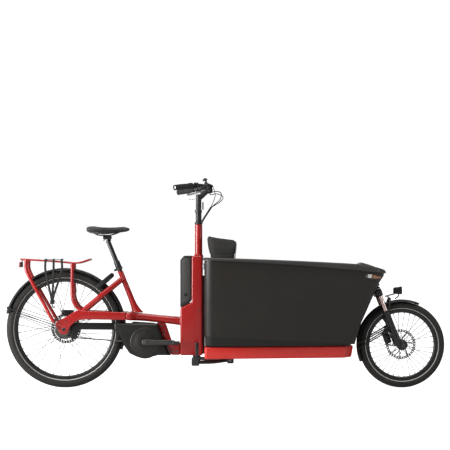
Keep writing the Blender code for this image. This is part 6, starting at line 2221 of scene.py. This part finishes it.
@dataclass
class Studio:
    """Pale floor, pale surroundings, soft lights and the camera."""

    distance: float = 8.5
    height: float = 0.78

    def build(self) -> None:
        """Builds the floor, the lights and the camera."""
        self.floor()
        self.sky()
        self.overhead(strength=2.0, spread=50.0, lean=14.0)
        self.lamp("key_panel", (-3.2, -4.6, 3.4), 1.6, 40.0, (0.0, 0.0, 0.45))
        self.lamp("edge_panel", (-4.4, -1.4, 1.3), 2.2, 230.0, (-0.1, -0.2, 0.5))
        self.lamp("corner_panel", (-4.6, -4.2, 0.9), 1.5, 75.0, (-0.1, -0.2, 0.5))
        self.lamp("side_panel", (4.6, -2.4, 2.2), 1.4, 34.0, (0.3, 0.0, 0.45))
        self.lamp("back_panel", (-1.2, 4.8, 3.0), 2.4, 60.0, (0.0, 0.0, 0.5))
        self.camera()

    def floor(self) -> None:
        """A pale floor with a faint mottle and a little light of its own, as over a lit studio sweep."""
        recipe = Recipe("pale_floor")
        mottle = recipe.noise(0.8, detail=3.0)
        seen = Term(recipe, recipe.node("ShaderNodeLightPath").outputs["Is Camera Ray"])
        surface = recipe.done(base_color=recipe.blend(mottle, (0.58, 0.58, 0.58), (0.61, 0.61, 0.605)),
            roughness=0.72 + mottle * 0.1, emission_strength=0.8,
            emission_color=recipe.blend(seen, (0.0, 0.0, 0.0), (1.0, 1.0, 1.0)))
        bm = bmesh.new()
        bmesh.ops.create_circle(bm, cap_ends=True, segments=64, radius=60.0)
        data = bpy.data.meshes.new("studio_floor")
        bm.to_mesh(data)
        bm.free()
        data.materials.append(surface)
        linked("studio_floor", data)

    def sky(self) -> None:
        """Pale surroundings, dimmer for what they light than for what is seen of them."""
        world = bpy.data.worlds.new("studio")
        world.use_nodes = True
        tree = world.node_tree
        back = tree.nodes["Background"]
        back.inputs["Color"].default_value = (0.98, 0.985, 0.99, 1.0)
        rays = tree.nodes.new("ShaderNodeLightPath")
        level = tree.nodes.new("ShaderNodeMapRange")
        level.inputs["To Min"].default_value, level.inputs["To Max"].default_value = 0.22, 1.05
        tree.links.new(rays.outputs["Is Camera Ray"], level.inputs["Value"])
        tree.links.new(level.outputs["Result"], back.inputs["Strength"])
        bpy.context.scene.world = world

    def overhead(self, strength: float, spread: float, lean: float) -> None:
        """An even light from above.

        Args:
            strength: Its strength.
            spread: The width of its source, in degrees.
            lean: How far it leans towards the bicycle's right side, in degrees.
        """
        data = bpy.data.lights.new("overhead", "SUN")
        data.energy, data.angle = strength, radians(spread)
        linked("overhead", data).rotation_euler = (radians(lean), 0.0, 0.0)

    def lamp(self, name: str, at: tuple[float, float, float], size: float, power: float,
            aim: tuple[float, float, float]) -> None:
        """A square soft light.

        Args:
            name: Its name.
            at: Where it stands.
            size: Its side.
            power: Its power in watts.
            aim: What it points at.
        """
        data = bpy.data.lights.new(name, "AREA")
        data.shape, data.size, data.energy = "SQUARE", size, power
        light = linked(name, data)
        light.location = at
        light.rotation_euler = (Vector(aim) - Vector(at)).to_track_quat("-Z", "Y").to_euler()

    def camera(self) -> None:
        """The camera, level and square to the bicycle's right side."""
        data = bpy.data.cameras.new("camera")
        data.lens, data.sensor_width, data.shift_y = 112.8, 36.0, 0.0733
        data.clip_end = 200.0
        camera = linked("camera", data)
        camera.location = (0.0, -self.distance, self.height)
        camera.rotation_euler = (pi / 2, 0.0, 0.0)
        bpy.context.scene.camera = camera
        bpy.context.scene.view_settings.view_transform = "Standard"


def main() -> None:
    """Builds each sub-assembly in order."""
    logging.basicConfig(level=logging.INFO, format="%(message)s")
    Studio().build()
    dress_remaining()
    Wheel("rear", REAR_AXLE, tyre_radius=0.353, section=0.06, rim_radius=0.283, hub=REAR_HUB, flange_radius=0.057,
        flange=0.0295, disc_side=0.05, stripe=0.307, disc_shade=0.09).build()
    Wheel("front", FRONT_AXLE, tyre_radius=0.258, section=0.056, rim_radius=0.193, hub=FRONT_HUB,
        flange_radius=0.0285, flange=0.0232, disc_side=0.039, stripe=0.219).build()
    rear_wires = [[(REAR_AXLE.x - 0.02, 0.0928, start), (-1.022, 0.0928, bend), (-1.29, 0.04, low),
        (REAR_AXLE.x - 0.3555 * cos(asin((low - 0.3445) / 0.3555)), 0.035, low + 0.0085)] for start, bend,
        low in ((0.358, 0.367, 0.456), (0.366, 0.379, 0.474))]
    front_wires = [[(FRONT_AXLE.x - 0.087, 0.063, high), (FRONT_AXLE.x - 0.25, 0.039, low),
        (FRONT_AXLE.x - 0.264, 0.033, low - 0.007)] for high, low in mm((366, 276), (342, 246))]
    Mudguard("rear_mudguard", "frame", REAR_AXLE, radius=0.3665, half_width=0.036, start=-20.0, end=165.0,
        wires=rear_wires, clips=[(-1.296, 0.0375, 0.462, 20), (-1.296, 0.0375, 0.478, 20)]).build()
    Mudguard("front_mudguard", "fork_lower", FRONT_AXLE, radius=0.2715, half_width=0.034, start=67.0, end=202.0,
        wires=front_wires, clips=[(0.977, 0.063, 0.364, -20), (0.977, 0.063, 0.342, -20)], pointed=6.0,
        wire_radius=0.004).build()
    RearFrame().build()
    BatteryColumn().build()
    Platform().build()
    LoadBox().build()
    ChildBench().build()
    Fork().build()
    Cockpit(Vector((-0.1875, 0.235, 1.2037)), Vector((-0.2934, 0.31, 1.189))).build()
    SaddleSet().build()
    Drive().build()
    Rack().build()
    LockAndBrake().build()
    Kickstand(Vector((0.03, 0, 0.17))).build()


if __name__ == "__main__":
    main()
